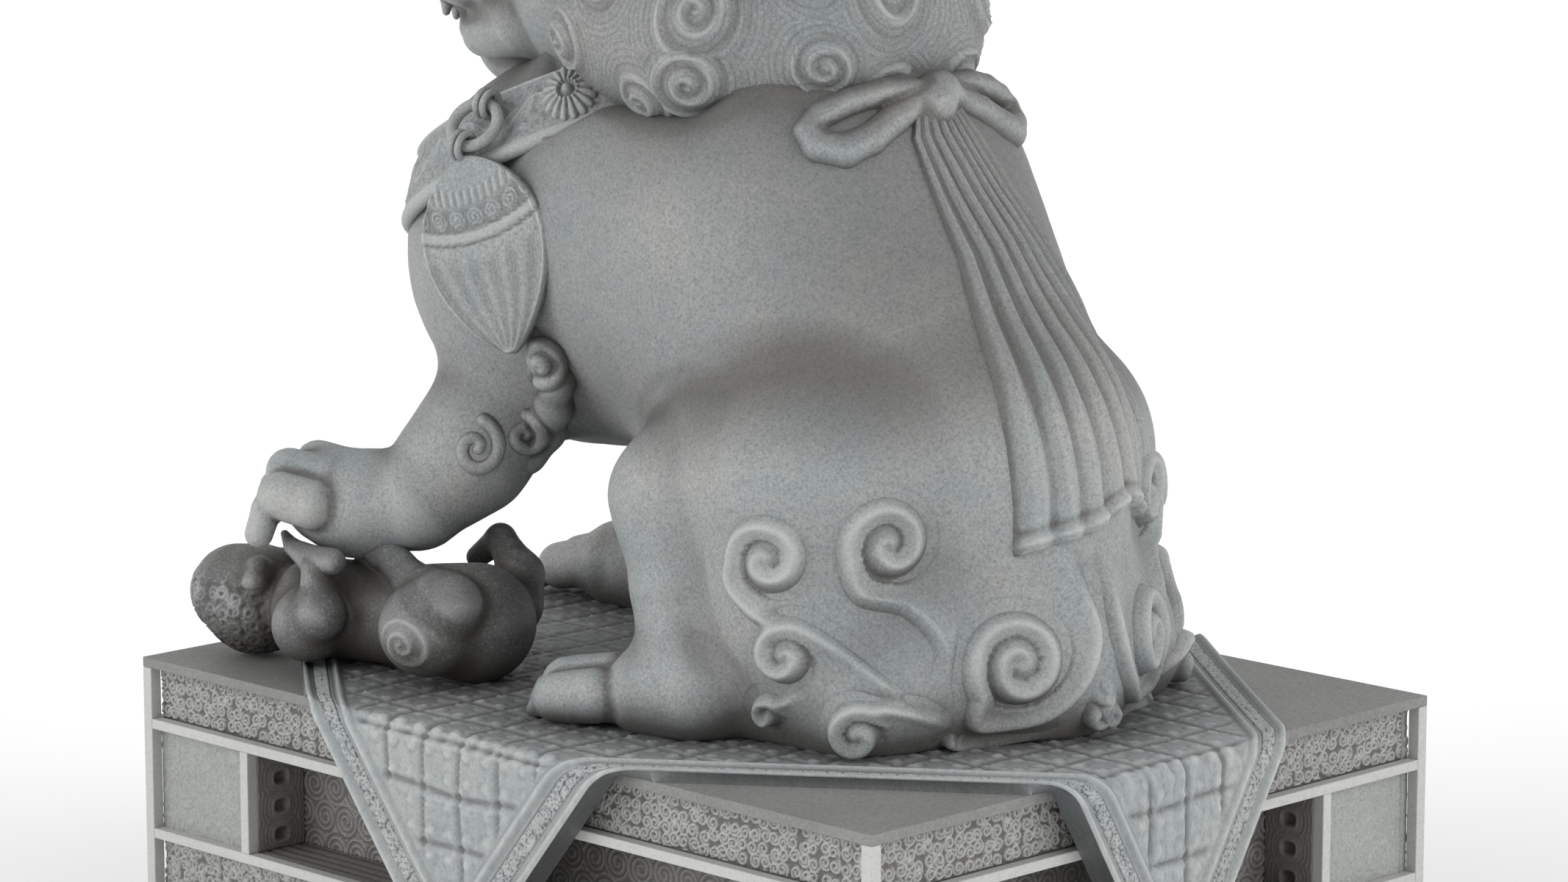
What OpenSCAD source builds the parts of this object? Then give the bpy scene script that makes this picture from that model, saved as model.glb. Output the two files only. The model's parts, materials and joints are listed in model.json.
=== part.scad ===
// Seated guardian lion with a cub under its raised left forepaw, on a panelled
// pedestal with a draped stone cloth. Millimetres, +Z up, the lion faces -Y and
// its left side is +X. The origin is the centre of the plinth's underside.

/* [Pedestal] */
// Length of the pedestal, front to back
ped_len = 1200; // [1000:10:1600]
// Width of the pedestal, side to side
ped_wid = 912; // [760:8:1200]
// Height of the pedestal, floor to cap top
ped_h = 372; // [310:2:520]
// Height of the floor plinth
plinth_h = 73; // [60:1:90]
// Height of the plinth's upper step
plinth_step_h = 20; // [15:1:30]
// Width of the plinth's step
plinth_step_w = 10; // [8:1:14]
// Reach of the plinth past the hanging cloth
plinth_lip = 10; // [6:1:30]
// Height of the foot slab on the plinth
foot_slab_h = 20; // [12:1:30]
// Height of the cap slab
cap_h = 12; // [10:1:20]
// Height of each carved frieze
frieze_h = 61; // [45:1:75]
// Square section of the posts, and depth of the rails and mullions
post_w = 15; // [12:1:24]
// Height of the middle and lower rails
rail_h = 12; // [10:1:20]
// Width of a mullion and thickness of a niche cheek
mullion_w = 14; // [11:1:20]
// Thickness of the frieze and panel slabs
slab_t = 12; // [8:1:20]
// Width of a side panel on the long sides
long_panel_w = 163; // [120:1:200]
// Width of a side panel on the short sides
short_panel_w = 155; // [120:1:190]
// Depth of the niches, from the face of the rails
niche_d = 84; // [60:1:110]
// Thickness of the niche's back
niche_back_t = 12; // [8:1:20]
// Mortar joint at the ends of the short rails
mortar = 0.5; // [0.3:0.1:1]

/* [Cloth] */
// Thickness of the cloth on the cap
cloth_t = 10; // [6:1:16]
// Thickness of the hanging flaps
flap_t = 34; // [20:1:45]
// Width of the flap on a long side, at the fold
long_flap_w = 490; // [380:5:600]
// Width of the flap on a short side, at the fold
short_flap_w = 358; // [280:2:440]
// Drop of the flaps below the cap top
flap_drop = 288; // [200:2:290]
// Shift of the cloth's centre towards the lion's left
cloth_dx = 12; // [-20:1:20]
// Shift of the cloth's centre towards the tail
cloth_dy = -16; // [-20:1:20]

/* [Lion] */
// Height of the lion from its seat to the top of its mane
lion_h = 1200; // [1000:10:1440]
// Place of the neck's top face, in thousandths of the lion's height
neck_top = 680; // [660:5:720]

/* [Collar] */
// Radius of the collar's lower edge
collar_r = 258; // [215:1:310]
// Radius of the collar's upper edge
collar_top_r = 214; // [178:1:256]
// Height of the collar band along its own axis
collar_h = 72; // [60:1:86]
// Thickness of the collar band
collar_t = 16; // [12:1:22]
// Radius of the roll on the collar's lower edge
collar_roll_r = 9; // [7:0.5:12]
// Tilt of the collar, front edge down
collar_tilt = 25; // [20:1:30]
// Thickness of the mortar bed around the collar
collar_bed = 1; // [0.5:0.25:2]
// Radius of the rosettes on the collar
rosette_r = 30; // [24:1:36]
// Height of the rosettes over the band
rosette_h = 12; // [8:1:16]

/* [Ring and pendant] */
// Radius of the hanging ring to its tube's centre
ring_r = 29; // [25:0.5:35]
// Radius of the hanging ring's tube
ring_tube_r = 7; // [5:0.5:8.5]
// Radius of the small loops to their wire's centre
loop_r = 14.5; // [13.5:0.5:18]
// Radius of the small loops' wire
loop_wire_r = 4; // [3:0.25:4.5]
// Distance between the two small loops of a pair
loop_gap = 10; // [9:0.5:12]
// Distance of the ring's top from the collar's face
loop_offset = 20; // [19.5:0.5:24]
// Radius of the foot that ties a pair of small loops to the collar
loop_foot_r = 7; // [6:0.5:8]
// Width of the pendant
pendant_w = 168; // [130:2:200]
// Length of the pendant
pendant_l = 232; // [190:2:280]
// Thickness of the pendant
pendant_t = 14; // [10:1:18]

/* [Dowels] */
// Radius of the steel dowels under the lion and in its neck
dowel_r = 14; // [10:1:20]
// Length of the steel dowels under the lion and in its neck
dowel_l = 180; // [120:5:240]
// Radius of the cub's steel dowel
cub_dowel_r = 7; // [5:0.5:10]
// Length of the cub's steel dowel
cub_dowel_l = 80; // [60:2:100]
// Gap around each dowel, filled with mortar
dowel_gap = 1; // [0.5:0.25:2]

/* [Hidden] */

// Colours of the stone and the steel
stone_light = "#c0c0be";
stone_body = "#939594";
stone_panel = "#a3a5a2";
stone_dark = "#868583";
steel = "#8a8d90";

// Facets of the rounded limbs' spheres
limb_fn = 26;
// Facets of true rounds
round_fn = 64;

// Pedestal levels, from the floor up
foot_z = plinth_h + foot_slab_h;
foot_rail_z = foot_z + frieze_h;
niche_z = foot_rail_z + rail_h;
cap_z = ped_h - cap_h;
rail_z = cap_z - frieze_h - rail_h;
seat_z = ped_h + cloth_t;
half_w = ped_wid / 2;
half_l = ped_len / 2;
wall_in = post_w + slab_t;

// The two kinds of pedestal face, and their sizes
LONG = 0;
SHORT = 1;
function face_out(kind) = kind == LONG ? half_w : half_l;
function face_half(kind) = kind == LONG ? half_l : half_w;
function slab_half(kind) = kind == LONG ? half_l - post_w : half_w - wall_in;
function panel_w(kind) = kind == LONG ? long_panel_w : short_panel_w;
function niche_half(kind) = face_half(kind) - post_w - panel_w(kind) - mullion_w;

// One thousandth of the lion's height
u = lion_h / 1000;

// The lion's balls: [x, y, z, radius] in thousandths of its height, over its seat
chest = [[18, -225, 392, 184], [-18, -225, 392, 184], [0, 35, 432, 200]];
back = [[0, 35, 432, 200], [0, 118, 310, 205], [0, 200, 225, 186], [0, 262, 120, 150]];
neck = [[0, -60, 512, 186], [0, -70, 600, 150]];
haunch = [[150, 200, 132, 118], [152, 198, 224, 118]];
thigh = [[165, 110, 217, 96], [205, 86, 207, 62]];
shin = [[205, 86, 207, 62], [222, 112, 134, 54], [243, 142, 45, 52]];
hind_foot = [[255, 150, 36, 46], [283, 60, 32, 42], [297, 18, 26, 34]];
seat_side = [[155, 225, 62, 92], [170, 285, 42, 66]];
rump = [[95, 300, 66, 82], [0, 335, 60, 80]];
raised_shoulder = [[112, -205, 372, 100], [130, -211, 286, 66], [188, -232, 204, 56]];
raised_forearm = [[188, -232, 204, 56], [236, -264, 157, 51], [262, -335, 145, 47]];
raised_paw = [[262, -335, 145, 47], [282, -420, 138, 44]];
standing_leg = [[-115, -215, 300, 92], [-124, -240, 170, 62], [-124, -250, 70, 56]];
standing_paw = [[-120, -280, 40, 52], [-111, -372, 32, 42], [-103, -404, 24, 36]];
mane_top = [0, -50, 735, 192];
mane_rim = [118, 620, 72];
mane_bun = [[0, -20, 872, 120]];
face_block = [[0, -205, 722, 150], [0, -150, 682, 160]];
muzzle = [[0, -300, 692, 96], [0, -352, 674, 84]];
jaw = [[0, -250, 604, 74], [0, -362, 580, 50]];
ears = [[172, -170, 800, 46]];

// Collar frame: the centre of its lower edge, over the lion's seat
collar_at = [0, -225 * u, 478 * u];
// Slope of the collar's face from its own axis
collar_slope = atan2(collar_r - collar_top_r, collar_h);
function collar_at_z(z) = collar_r + (collar_top_r - collar_r) * z / collar_h;
// A point off the collar's face, in the part's frame: its turn from the lion's left
// towards the tail, its height on the collar and its distance from the face
function off_collar(turn, z, off) =
  let (r = collar_at_z(z) + off * cos(collar_slope), h = z + off * sin(collar_slope))
  [r * cos(turn),
   collar_at[1] + r * sin(turn) * cos(collar_tilt) - h * sin(collar_tilt),
   seat_z + collar_at[2] + r * sin(turn) * sin(collar_tilt) + h * cos(collar_tilt)];
// Turn and height of the small loops' foot on the collar
loop_turn = 17.5;
loop_z = collar_h * 2 / 3;
// Place of the ring's top in the part's frame
eye_at = off_collar(loop_turn, loop_z, loop_offset);
// Turn about Z, lean from the chest and roll along it, for the ring and the pendant
hang_az = 15;
ring_lean = -38;
ring_roll = -11;
pendant_lean = -4;
pendant_roll = 19;
// Way from the ring's top to its bottom, in the part's frame
function hang_down(lean, roll) = [
  -cos(roll) * sin(lean) * cos(hang_az) - sin(roll) * sin(hang_az),
  -cos(roll) * sin(lean) * sin(hang_az) + sin(roll) * cos(hang_az),
  -cos(roll) * cos(lean)];
bail_at = eye_at + 2 * ring_r * hang_down(ring_lean, ring_roll);

// The cub's balls, over the cap's top
cub_torso = [[278, -352, 58, 52], [215, -225, 62, 58]];
cub_head = [[290, -432, 60, 62]];
cub_arm = [[300, -340, 78, 24], [318, -372, 98, 18]];
cub_leg = [[268, -225, 80, 34], [262, -270, 112, 20], [255, -300, 142, 17]];
cub_far_leg = [[170, -235, 70, 30], [150, -250, 118, 16]];

// Dowel places over the seat plane
seat_dowel_at = [[0, 120, 0], [0, 250, 0]];
neck_dowel_at = [0, -70 * u, seat_z + neck_top * u];
cub_dowel_at = [240 * u, -270 * u, ped_h];

// ---- shared shapes ----

// A ball at a place given in thousandths of the lion's height
module ball(p) {
  translate([p[0], p[1], p[2]] * u) sphere(r = p[3] * u, $fn = limb_fn);
}

// A smooth limb through a list of balls
module limb(balls) {
  hull() for (p = balls) ball(p);
}

// The mane, a dome over a round rim that bulges past the neck
module mane_form() {
  hull() {
    ball(mane_top);
    for (turn = [22.5:45:359])
      ball([mane_rim[0] * cos(turn), mane_top[1] + mane_rim[0] * sin(turn),
            mane_rim[1], mane_rim[2]]);
  }
}

module both_sides() {
  children();
  mirror([1, 0, 0]) children();
}

// A plain stone block from its two corners
module block(low, high) {
  translate(low) cube(high - low);
}

// Puts a piece modelled on the +X face on one of the four faces
module on_face(name) {
  turn = name == "left" ? 0 : name == "rear" ? 90 : name == "right" ? 180 : 270;
  rotate([0, 0, turn]) children();
}

function kind_of(name) = (name == "left" || name == "right") ? LONG : SHORT;

// A bar that runs along a face in front of the slabs. On the short faces it stops a
// mortar joint short of the posts, so that its ends keep clear of the long bars.
module rail(kind, z) {
  out = face_out(kind);
  reach = face_half(kind) - post_w - (kind == SHORT ? mortar : 0);
  block([out - post_w, -reach, z], [out, reach, z + rail_h]);
}

module frieze_slab(name, low, high) {
  kind = kind_of(name);
  out = face_out(kind);
  reach = slab_half(kind);
  color(stone_dark) on_face(name)
    block([out - wall_in, -reach, low], [out - post_w, reach, high]);
}

module side_panels(name) {
  kind = kind_of(name);
  out = face_out(kind);
  inner = niche_half(kind) + mullion_w;
  reach = slab_half(kind);
  color(stone_panel) on_face(name) for (side = [-1, 1])
    block([out - wall_in, min(side * inner, side * reach), foot_rail_z],
          [out - post_w, max(side * inner, side * reach), rail_z]);
}

module niche_back(name) {
  kind = kind_of(name);
  deep = face_out(kind) - niche_d;
  reach = niche_half(kind) + mullion_w;
  color(stone_dark) on_face(name)
    block([deep - niche_back_t, -reach, niche_z], [deep, reach, rail_z]);
}

module niche_cheeks(name) {
  kind = kind_of(name);
  out = face_out(kind);
  inner = niche_half(kind);
  color(stone_dark) on_face(name) for (side = [-1, 1])
    block([out - niche_d, side > 0 ? inner : -inner - mullion_w, niche_z],
          [out - post_w, side > 0 ? inner + mullion_w : -inner, rail_z]);
}

// ---- pedestal ----

module floor_plinth() {
  x = half_w + flap_t + plinth_lip;
  y = half_l + flap_t + plinth_lip;
  low_h = plinth_h - plinth_step_h;
  color(stone_light) {
    block([-x, -y, 0], [x, y, low_h]);
    block([plinth_step_w - x, plinth_step_w - y, low_h],
          [x - plinth_step_w, y - plinth_step_w, plinth_h]);
  }
}

module foot_slab() {
  color(stone_light) block([-half_w, -half_l, plinth_h], [half_w, half_l, foot_z]);
}

// The block that fills the pedestal, with a pocket for each niche's slabs
module core_block() {
  x = half_w - wall_in;
  y = half_l - wall_in;
  color(stone_body) difference() {
    block([-x, -y, foot_z], [x, y, cap_z]);
    for (name = ["left", "rear", "right", "front"]) {
      kind = kind_of(name);
      reach = niche_half(kind) + mullion_w;
      deep = face_out(kind) - niche_d - niche_back_t;
      on_face(name) block([deep, -reach, foot_rail_z], [face_out(kind), reach, rail_z]);
    }
    translate([0, 0, -ped_h]) seat_holes();
    seat_holes();
    cub_hole();
  }
}

module cap_slab() {
  color(stone_light) difference() {
    block([-half_w, -half_l, cap_z], [half_w, half_l, ped_h]);
    seat_holes();
    cub_hole();
  }
}

module corner_posts() {
  color(stone_light) for (x = [-half_w, half_w - post_w], y = [-half_l, half_l - post_w])
    block([x, y, foot_z], [x + post_w, y + post_w, cap_z]);
}

module middle_rails() {
  color(stone_light) for (name = ["left", "rear", "right", "front"])
    on_face(name) rail(kind_of(name), rail_z);
}

module lower_rails() {
  color(stone_light) for (name = ["left", "rear", "right", "front"])
    on_face(name) rail(kind_of(name), foot_rail_z);
}

module mullions() {
  color(stone_light) for (name = ["left", "rear", "right", "front"], side = [-1, 1]) {
    kind = kind_of(name);
    out = face_out(kind);
    inner = niche_half(kind);
    y = side > 0 ? inner : -inner - mullion_w;
    on_face(name) block([out - post_w, y, niche_z], [out, y + mullion_w, rail_z]);
  }
}

module niche_floors() {
  color(stone_dark) for (name = ["left", "rear", "right", "front"]) {
    kind = kind_of(name);
    out = face_out(kind);
    reach = niche_half(kind) + mullion_w;
    on_face(name) block([out - niche_d - niche_back_t, -reach, foot_rail_z],
                        [out - post_w, reach, niche_z]);
  }
}

// ---- cloth ----

// Outline of the cloth, a diamond whose four points fold down over the edges
module cloth_outline() {
  x = half_w + flap_t;
  y = half_l + flap_t;
  a = long_flap_w / 2;
  b = short_flap_w / 2;
  polygon([[x, cloth_dy - a], [x, cloth_dy + a], [cloth_dx + b, y], [cloth_dx - b, y],
           [-x, cloth_dy + a], [-x, cloth_dy - a], [cloth_dx - b, -y], [cloth_dx + b, -y]]);
}

module cloth_top() {
  color(stone_panel) difference() {
    translate([0, 0, ped_h]) linear_extrude(cloth_t) cloth_outline();
    seat_holes();
    cub_hole();
  }
}

// A hanging point of the cloth, against one face of the pedestal
module flap(name) {
  kind = kind_of(name);
  w = kind == LONG ? long_flap_w : short_flap_w;
  shift = name == "left" ? cloth_dy : name == "right" ? -cloth_dy
        : name == "rear" ? -cloth_dx : cloth_dx;
  color(stone_panel) on_face(name)
    translate([face_out(kind), shift, ped_h]) rotate([90, 0, 90]) linear_extrude(flap_t)
      polygon([[-w / 2, 0], [0, -flap_drop], [w / 2, 0]]);
}

// ---- lion ----

module trunk() {
  limb(chest);
  limb(back);
  limb(neck);
}

module raised_leg() {
  limb(raised_shoulder);
  limb(raised_forearm);
  limb(raised_paw);
}

module lion_form() {
  trunk();
  both_sides() {
    limb(haunch);
    limb(thigh);
    limb(shin);
    limb(hind_foot);
    limb(seat_side);
    limb(rump);
  }
  raised_leg();
  limb(standing_leg);
  limb(standing_paw);
}

module on_seat() {
  translate([0, 0, seat_z]) children();
}

module in_collar_frame() {
  translate([0, 0, seat_z]) translate(collar_at) rotate([collar_tilt, 0, 0]) children();
}

// The room that the collar takes, with its bed of mortar
module collar_room() {
  in_collar_frame() {
    rotate_extrude($fn = round_fn) polygon([
      [collar_r - collar_t - collar_bed, -collar_bed], [collar_r + collar_t, -collar_bed],
      [collar_top_r + collar_t, collar_h + collar_bed],
      [collar_top_r - collar_t - collar_bed, collar_h + collar_bed]]);
    rotate_extrude($fn = round_fn) translate([collar_r - collar_t / 2, 0])
      circle(r = collar_roll_r + collar_bed, $fn = 24);
  }
}

module seat_holes() {
  for (p = seat_dowel_at)
    translate([p[0], p[1], seat_z - dowel_l / 2 - dowel_gap])
      cylinder(r = dowel_r + dowel_gap, h = dowel_l + 2 * dowel_gap, $fn = round_fn);
}

module neck_hole() {
  translate(neck_dowel_at - [0, 0, dowel_l / 2 + dowel_gap])
    cylinder(r = dowel_r + dowel_gap, h = dowel_l + 2 * dowel_gap, $fn = round_fn);
}

module cub_hole() {
  translate(cub_dowel_at - [0, 0, cub_dowel_l / 2 + dowel_gap])
    cylinder(r = cub_dowel_r + dowel_gap, h = cub_dowel_l + 2 * dowel_gap, $fn = round_fn);
}

module lion_body() {
  color(stone_body) difference() {
    on_seat() lion_form();
    block([-lion_h, -lion_h, -lion_h], [lion_h, lion_h, seat_z]);
    block([-lion_h, -lion_h, seat_z + neck_top * u], [lion_h, lion_h, 3 * lion_h]);
    collar_room();
    seat_holes();
    neck_hole();
  }
}

// The head and mane, hollowed underneath to sit down over the neck
module lion_head() {
  color(stone_body) difference() {
    on_seat() {
      mane_form();
      limb(mane_bun);
      limb(face_block);
      limb(muzzle);
      limb(jaw);
      both_sides() limb(ears);
    }
    intersection() {
      on_seat() trunk();
      block([-lion_h, -lion_h, 0], [lion_h, lion_h, seat_z + neck_top * u]);
    }
    collar_room();
    neck_hole();
  }
}

// Thickness of the pleated sash over the back
sash_t = 14;
// Place that the sash stays behind, in thousandths of the lion's height
sash_front = 60;
// The pleated sash from the nape down the back, spreading to its hem
module sash() {
  color(stone_body) difference() {
    intersection() {
      on_seat() hull() for (p = back) ball([p[0], p[1], p[2], p[3] + sash_t / u]);
      on_seat() rotate([90, 0, 0]) translate([0, 0, -lion_h / 2])
        linear_extrude(lion_h / 2 - sash_front * u)
        polygon([[-70, 640], [70, 640], [150, 200], [60, 165], [-60, 165], [-150, 200]] * u);
    }
    on_seat() {
      lion_form();
      mane_form();
    }
  }
}

module collar() {
  color(stone_body) difference() {
    in_collar_frame() {
      rotate_extrude($fn = round_fn) polygon([
        [collar_r - collar_t, 0], [collar_r, 0],
        [collar_top_r, collar_h], [collar_top_r - collar_t, collar_h]]);
      rotate_extrude($fn = round_fn)
        translate([collar_r - collar_t / 2, 0]) circle(r = collar_roll_r, $fn = 24);
    }
    in_collar_frame() both_sides() {
      off_face(rosette_turn, collar_h / 2, -collar_t / 3)
        cylinder(r = rosette_r, h = rosette_h + collar_t, $fn = round_fn);
      off_face(loop_turn, loop_z, -collar_t / 3)
        cylinder(r = loop_foot_r, h = collar_t, $fn = round_fn);
    }
  }
}

// Puts a child, modelled up +Z, on the collar's face, in the collar's frame
module off_face(turn, z, off) {
  rotate([0, 0, turn]) translate([collar_at_z(z), 0, z]) rotate([0, 90 - collar_slope, 0])
    translate([0, 0, off]) children();
}

// The pairs of small loops that hold the rings, each on a foot let into the collar
module collar_loops() {
  foot_l = collar_t / 3 + loop_offset - ring_tube_r - (loop_r - ring_tube_r) / 2;
  color(stone_body) both_sides() {
    translate(eye_at) ring_frame() loops();
    in_collar_frame() off_face(loop_turn, loop_z, -collar_t / 3)
      cylinder(r = loop_foot_r, h = foot_l, $fn = round_fn);
  }
}

module loops() {
  for (side = [-1, 1]) translate([0, side * loop_gap / 2, 0])
    rotate([90, 0, 0]) rotate_extrude($fn = round_fn)
      translate([loop_r, 0]) circle(r = loop_wire_r, $fn = 24);
}

// The rosettes stand behind the rings, let into the collar's face
rosette_turn = 40;
module collar_rosettes() {
  color(stone_body) in_collar_frame() both_sides()
    off_face(rosette_turn, collar_h / 2, -collar_t / 3)
      cylinder(r = rosette_r, h = rosette_h + collar_t / 3, $fn = round_fn);
}

// ---- hanging ring and pendant ----

module ring_frame() {
  rotate([0, 0, hang_az]) rotate([0, ring_lean, 0]) rotate([ring_roll, 0, 0]) children();
}

module pendant_frame() {
  rotate([0, 0, hang_az]) rotate([0, pendant_lean, 0]) rotate([pendant_roll, 0, 0]) children();
}

module ring() {
  color(stone_body) translate(eye_at) ring_frame() translate([0, 0, -ring_r])
    rotate([0, 90, 0]) rotate_extrude($fn = round_fn)
      translate([ring_r, 0]) circle(r = ring_tube_r, $fn = 32);
}

// Outline of the leaf-shaped pendant, from its top down to its point
pendant_steps = 24;
function leaf_half(t) = pendant_w / 2 * pow(sin(180 * pow(t, 0.85)), 0.72);
module pendant_outline() {
  right = [for (i = [0:pendant_steps]) let (t = i / pendant_steps)
    [leaf_half(t), -t * pendant_l]];
  left = [for (i = [pendant_steps - 1:-1:1]) let (t = i / pendant_steps)
    [-leaf_half(t), -t * pendant_l]];
  polygon(concat(right, left));
}

// The pendant's plate starts under the loops, and stands out from the ring's bottom
pendant_top = loop_r - loop_wire_r / 2;
pendant_out = 4;
module pendant() {
  color(stone_body) translate(bail_at) {
    ring_frame() loops();
    ring_frame() rotate([0, pendant_lean - ring_lean, 0]) translate([0, 0, -loop_r])
      rotate([90, 0, 0]) cylinder(r = loop_wire_r + 0.5, h = loop_gap + 2 * loop_wire_r,
                                  center = true, $fn = round_fn);
    pendant_frame() translate([pendant_out - pendant_t / 2, 0, -pendant_top])
      rotate([90, 0, 90]) linear_extrude(pendant_t) pendant_outline();
  }
}

// ---- cub ----

module cub() {
  color(stone_dark) difference() {
    translate([0, 0, ped_h]) {
      limb(cub_torso);
      limb(cub_head);
      limb(cub_arm);
      limb(cub_leg);
      limb(cub_far_leg);
    }
    block([-lion_h, -lion_h, -lion_h], [lion_h, lion_h, ped_h]);
    translate([0, 0, ped_h - 1]) linear_extrude(cloth_t + 1) cloth_outline();
    on_seat() raised_leg();
    cub_hole();
  }
}

// ---- steel dowels ----

module seat_dowels() {
  color(steel) for (p = seat_dowel_at)
    translate([p[0], p[1], seat_z - dowel_l / 2])
      cylinder(r = dowel_r, h = dowel_l, $fn = round_fn);
}

module neck_dowel() {
  color(steel) translate(neck_dowel_at - [0, 0, dowel_l / 2])
    cylinder(r = dowel_r, h = dowel_l, $fn = round_fn);
}

module cub_dowel() {
  color(steel) translate(cub_dowel_at - [0, 0, cub_dowel_l / 2])
    cylinder(r = cub_dowel_r, h = cub_dowel_l, $fn = round_fn);
}

floor_plinth();
foot_slab();
core_block();
cap_slab();
corner_posts();
middle_rails();
lower_rails();
mullions();
frieze_slab("front", rail_z, cap_z);  // frieze_front
frieze_slab("rear", rail_z, cap_z);  // frieze_rear
frieze_slab("left", rail_z, cap_z);  // frieze_left
frieze_slab("right", rail_z, cap_z);  // frieze_right
frieze_slab("front", foot_z, foot_rail_z);  // foot_frieze_front
frieze_slab("rear", foot_z, foot_rail_z);  // foot_frieze_rear
frieze_slab("left", foot_z, foot_rail_z);  // foot_frieze_left
frieze_slab("right", foot_z, foot_rail_z);  // foot_frieze_right
side_panels("front");  // panels_front
side_panels("rear");  // panels_rear
side_panels("left");  // panels_left
side_panels("right");  // panels_right
niche_back("front");  // niche_back_front
niche_back("rear");  // niche_back_rear
niche_back("left");  // niche_back_left
niche_back("right");  // niche_back_right
niche_cheeks("front");  // niche_cheeks_front
niche_cheeks("rear");  // niche_cheeks_rear
niche_cheeks("left");  // niche_cheeks_left
niche_cheeks("right");  // niche_cheeks_right
niche_floors();
cloth_top();
flap("front");  // flap_front
flap("rear");  // flap_rear
flap("left");  // flap_left
flap("right");  // flap_right
lion_body();
lion_head();
sash();
collar();
collar_loops();
collar_rosettes();
ring();  // ring_left
mirror([1, 0, 0]) ring();  // ring_right
pendant();  // pendant_left
mirror([1, 0, 0]) pendant();  // pendant_right
cub();
seat_dowels();
neck_dowel();
cub_dowel();
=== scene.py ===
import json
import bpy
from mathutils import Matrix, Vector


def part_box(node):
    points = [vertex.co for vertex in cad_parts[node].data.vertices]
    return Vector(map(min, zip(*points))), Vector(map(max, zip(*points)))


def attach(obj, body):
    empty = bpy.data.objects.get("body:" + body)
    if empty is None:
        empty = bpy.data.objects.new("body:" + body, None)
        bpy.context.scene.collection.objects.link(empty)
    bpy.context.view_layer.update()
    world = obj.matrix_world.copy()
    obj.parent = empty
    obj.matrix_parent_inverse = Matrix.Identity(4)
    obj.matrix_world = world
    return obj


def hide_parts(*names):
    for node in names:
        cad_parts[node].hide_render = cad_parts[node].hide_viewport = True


bl_info = {
    "name": "Guardian Lion Statue",
    "version": (1, 0, 0),
    "blender": (4, 5, 0),
    "location": "3D View > Sidebar > Guardian Lion",
    "description": "Carves a seated stone guardian lion with its cub, harness, cloth and pedestal",
    "category": "Add Mesh",
}

import bpy
import numpy as np
import openvdb

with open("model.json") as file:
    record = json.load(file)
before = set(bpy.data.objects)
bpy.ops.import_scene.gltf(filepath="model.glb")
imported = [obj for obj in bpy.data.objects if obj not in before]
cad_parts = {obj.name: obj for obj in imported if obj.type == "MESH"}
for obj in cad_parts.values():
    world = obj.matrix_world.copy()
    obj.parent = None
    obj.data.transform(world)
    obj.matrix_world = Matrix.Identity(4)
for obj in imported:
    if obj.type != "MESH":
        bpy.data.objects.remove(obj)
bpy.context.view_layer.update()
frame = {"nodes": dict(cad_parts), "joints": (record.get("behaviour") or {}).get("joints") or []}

MM = 0.001
TURN = 2 * np.pi
FACES = ("left", "rear", "right", "front")
BODY = "statue"

# Levels and sizes taken from the frame, in metres
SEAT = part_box("lion_body")[0].z
CAP_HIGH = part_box("cap_slab")[1]
# One thousandth of the lion's height: its neck is cut at 680 of them over the seat
UNIT = (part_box("lion_body")[1].z - SEAT) / 680


# ---- sizes and colours a user may change ----

def tint(code):
    """Scene-linear colour of a six-digit code."""
    c = np.array([int(code[i:i + 2], 16) for i in (0, 2, 4)]) / 255
    return tuple(float(x) for x in np.where(c > 0.04045, ((c + 0.055) / 1.055) ** 2.4, c / 12.92))


def colour_prop(name, about, code):
    """Property that holds a colour."""
    return bpy.props.FloatVectorProperty(
        name=name, description=about, default=tint(code), size=3, min=0, max=1, subtype="COLOR")


def length_prop(name, about, metres, low=0.0, high=1.0):
    """Property that holds a length in metres."""
    return bpy.props.FloatProperty(
        name=name, description=about, default=metres, min=low, max=high, unit="LENGTH", precision=4)


class LionStone(bpy.types.PropertyGroup):
    """Colours and grain of the stone."""
    warm: colour_prop("Warm grey", "Warm tone of the lion's stone", "949491")
    cool: colour_prop("Cool grey", "Blue-green tone of the lion's stone", "858b8c")
    ridge: colour_prop("Worn edge", "Pale stone on ridges and edges", "c4c6c4")
    # Painted shade: this colour darkens the hollows, creases and shut-in places, led by the carve mark
    painted_shade: colour_prop("Cavity", "Dust and soot in the carved hollows", "3c3734")
    bar: colour_prop("Bars", "Pale stone of posts, rails and slabs", "b6b6b3")
    panel: colour_prop("Panels", "Stone of the side panels", "969994")
    frieze: colour_prop("Friezes", "Stone of the carved friezes", "8f8e8b")
    niche: colour_prop("Niches", "Dark stone inside the niches", "7d7b78")
    cloth_warm: colour_prop("Cloth, warm", "Warm tone of the stone cloth", "a2a4a1")
    cloth_cool: colour_prop("Cloth, cool", "Cool tone of the stone cloth", "92989a")
    # Painted shade: the cub's stone is darker than the lion's for the shade it lies in under the raised paw
    cub_shade_warm: colour_prop("Cub, warm", "Warm tone of the cub's stone", "615f5d")
    cub_shade_cool: colour_prop("Cub, cool", "Cool tone of the cub's stone", "545655")
    steel: colour_prop("Steel", "Brushed steel of the hidden dowels", "8a8d90")
    grain: length_prop("Grain", "Size of the speckles in the stone", 0.0034, 0.001, 0.02)


class LionCarving(bpy.types.PropertyGroup):
    """Mesh sizes and relief depths."""
    body_cell: length_prop("Body cell", "Cell of the lion's body mesh", 0.0064, 0.003, 0.05)
    face_cell: length_prop("Face cell", "Cell of the face mesh", 0.0040, 0.002, 0.05)
    cub_cell: length_prop("Cub cell", "Cell of the cub's mesh", 0.0030, 0.002, 0.05)
    frieze_depth: length_prop("Frieze depth", "Depth of the friezes' scrolls", 0.0030, 0.0005, 0.01)
    arris: length_prop("Arris", "Width of the worn arris on the blocks", 0.0012, 0.0003, 0.01)


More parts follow.
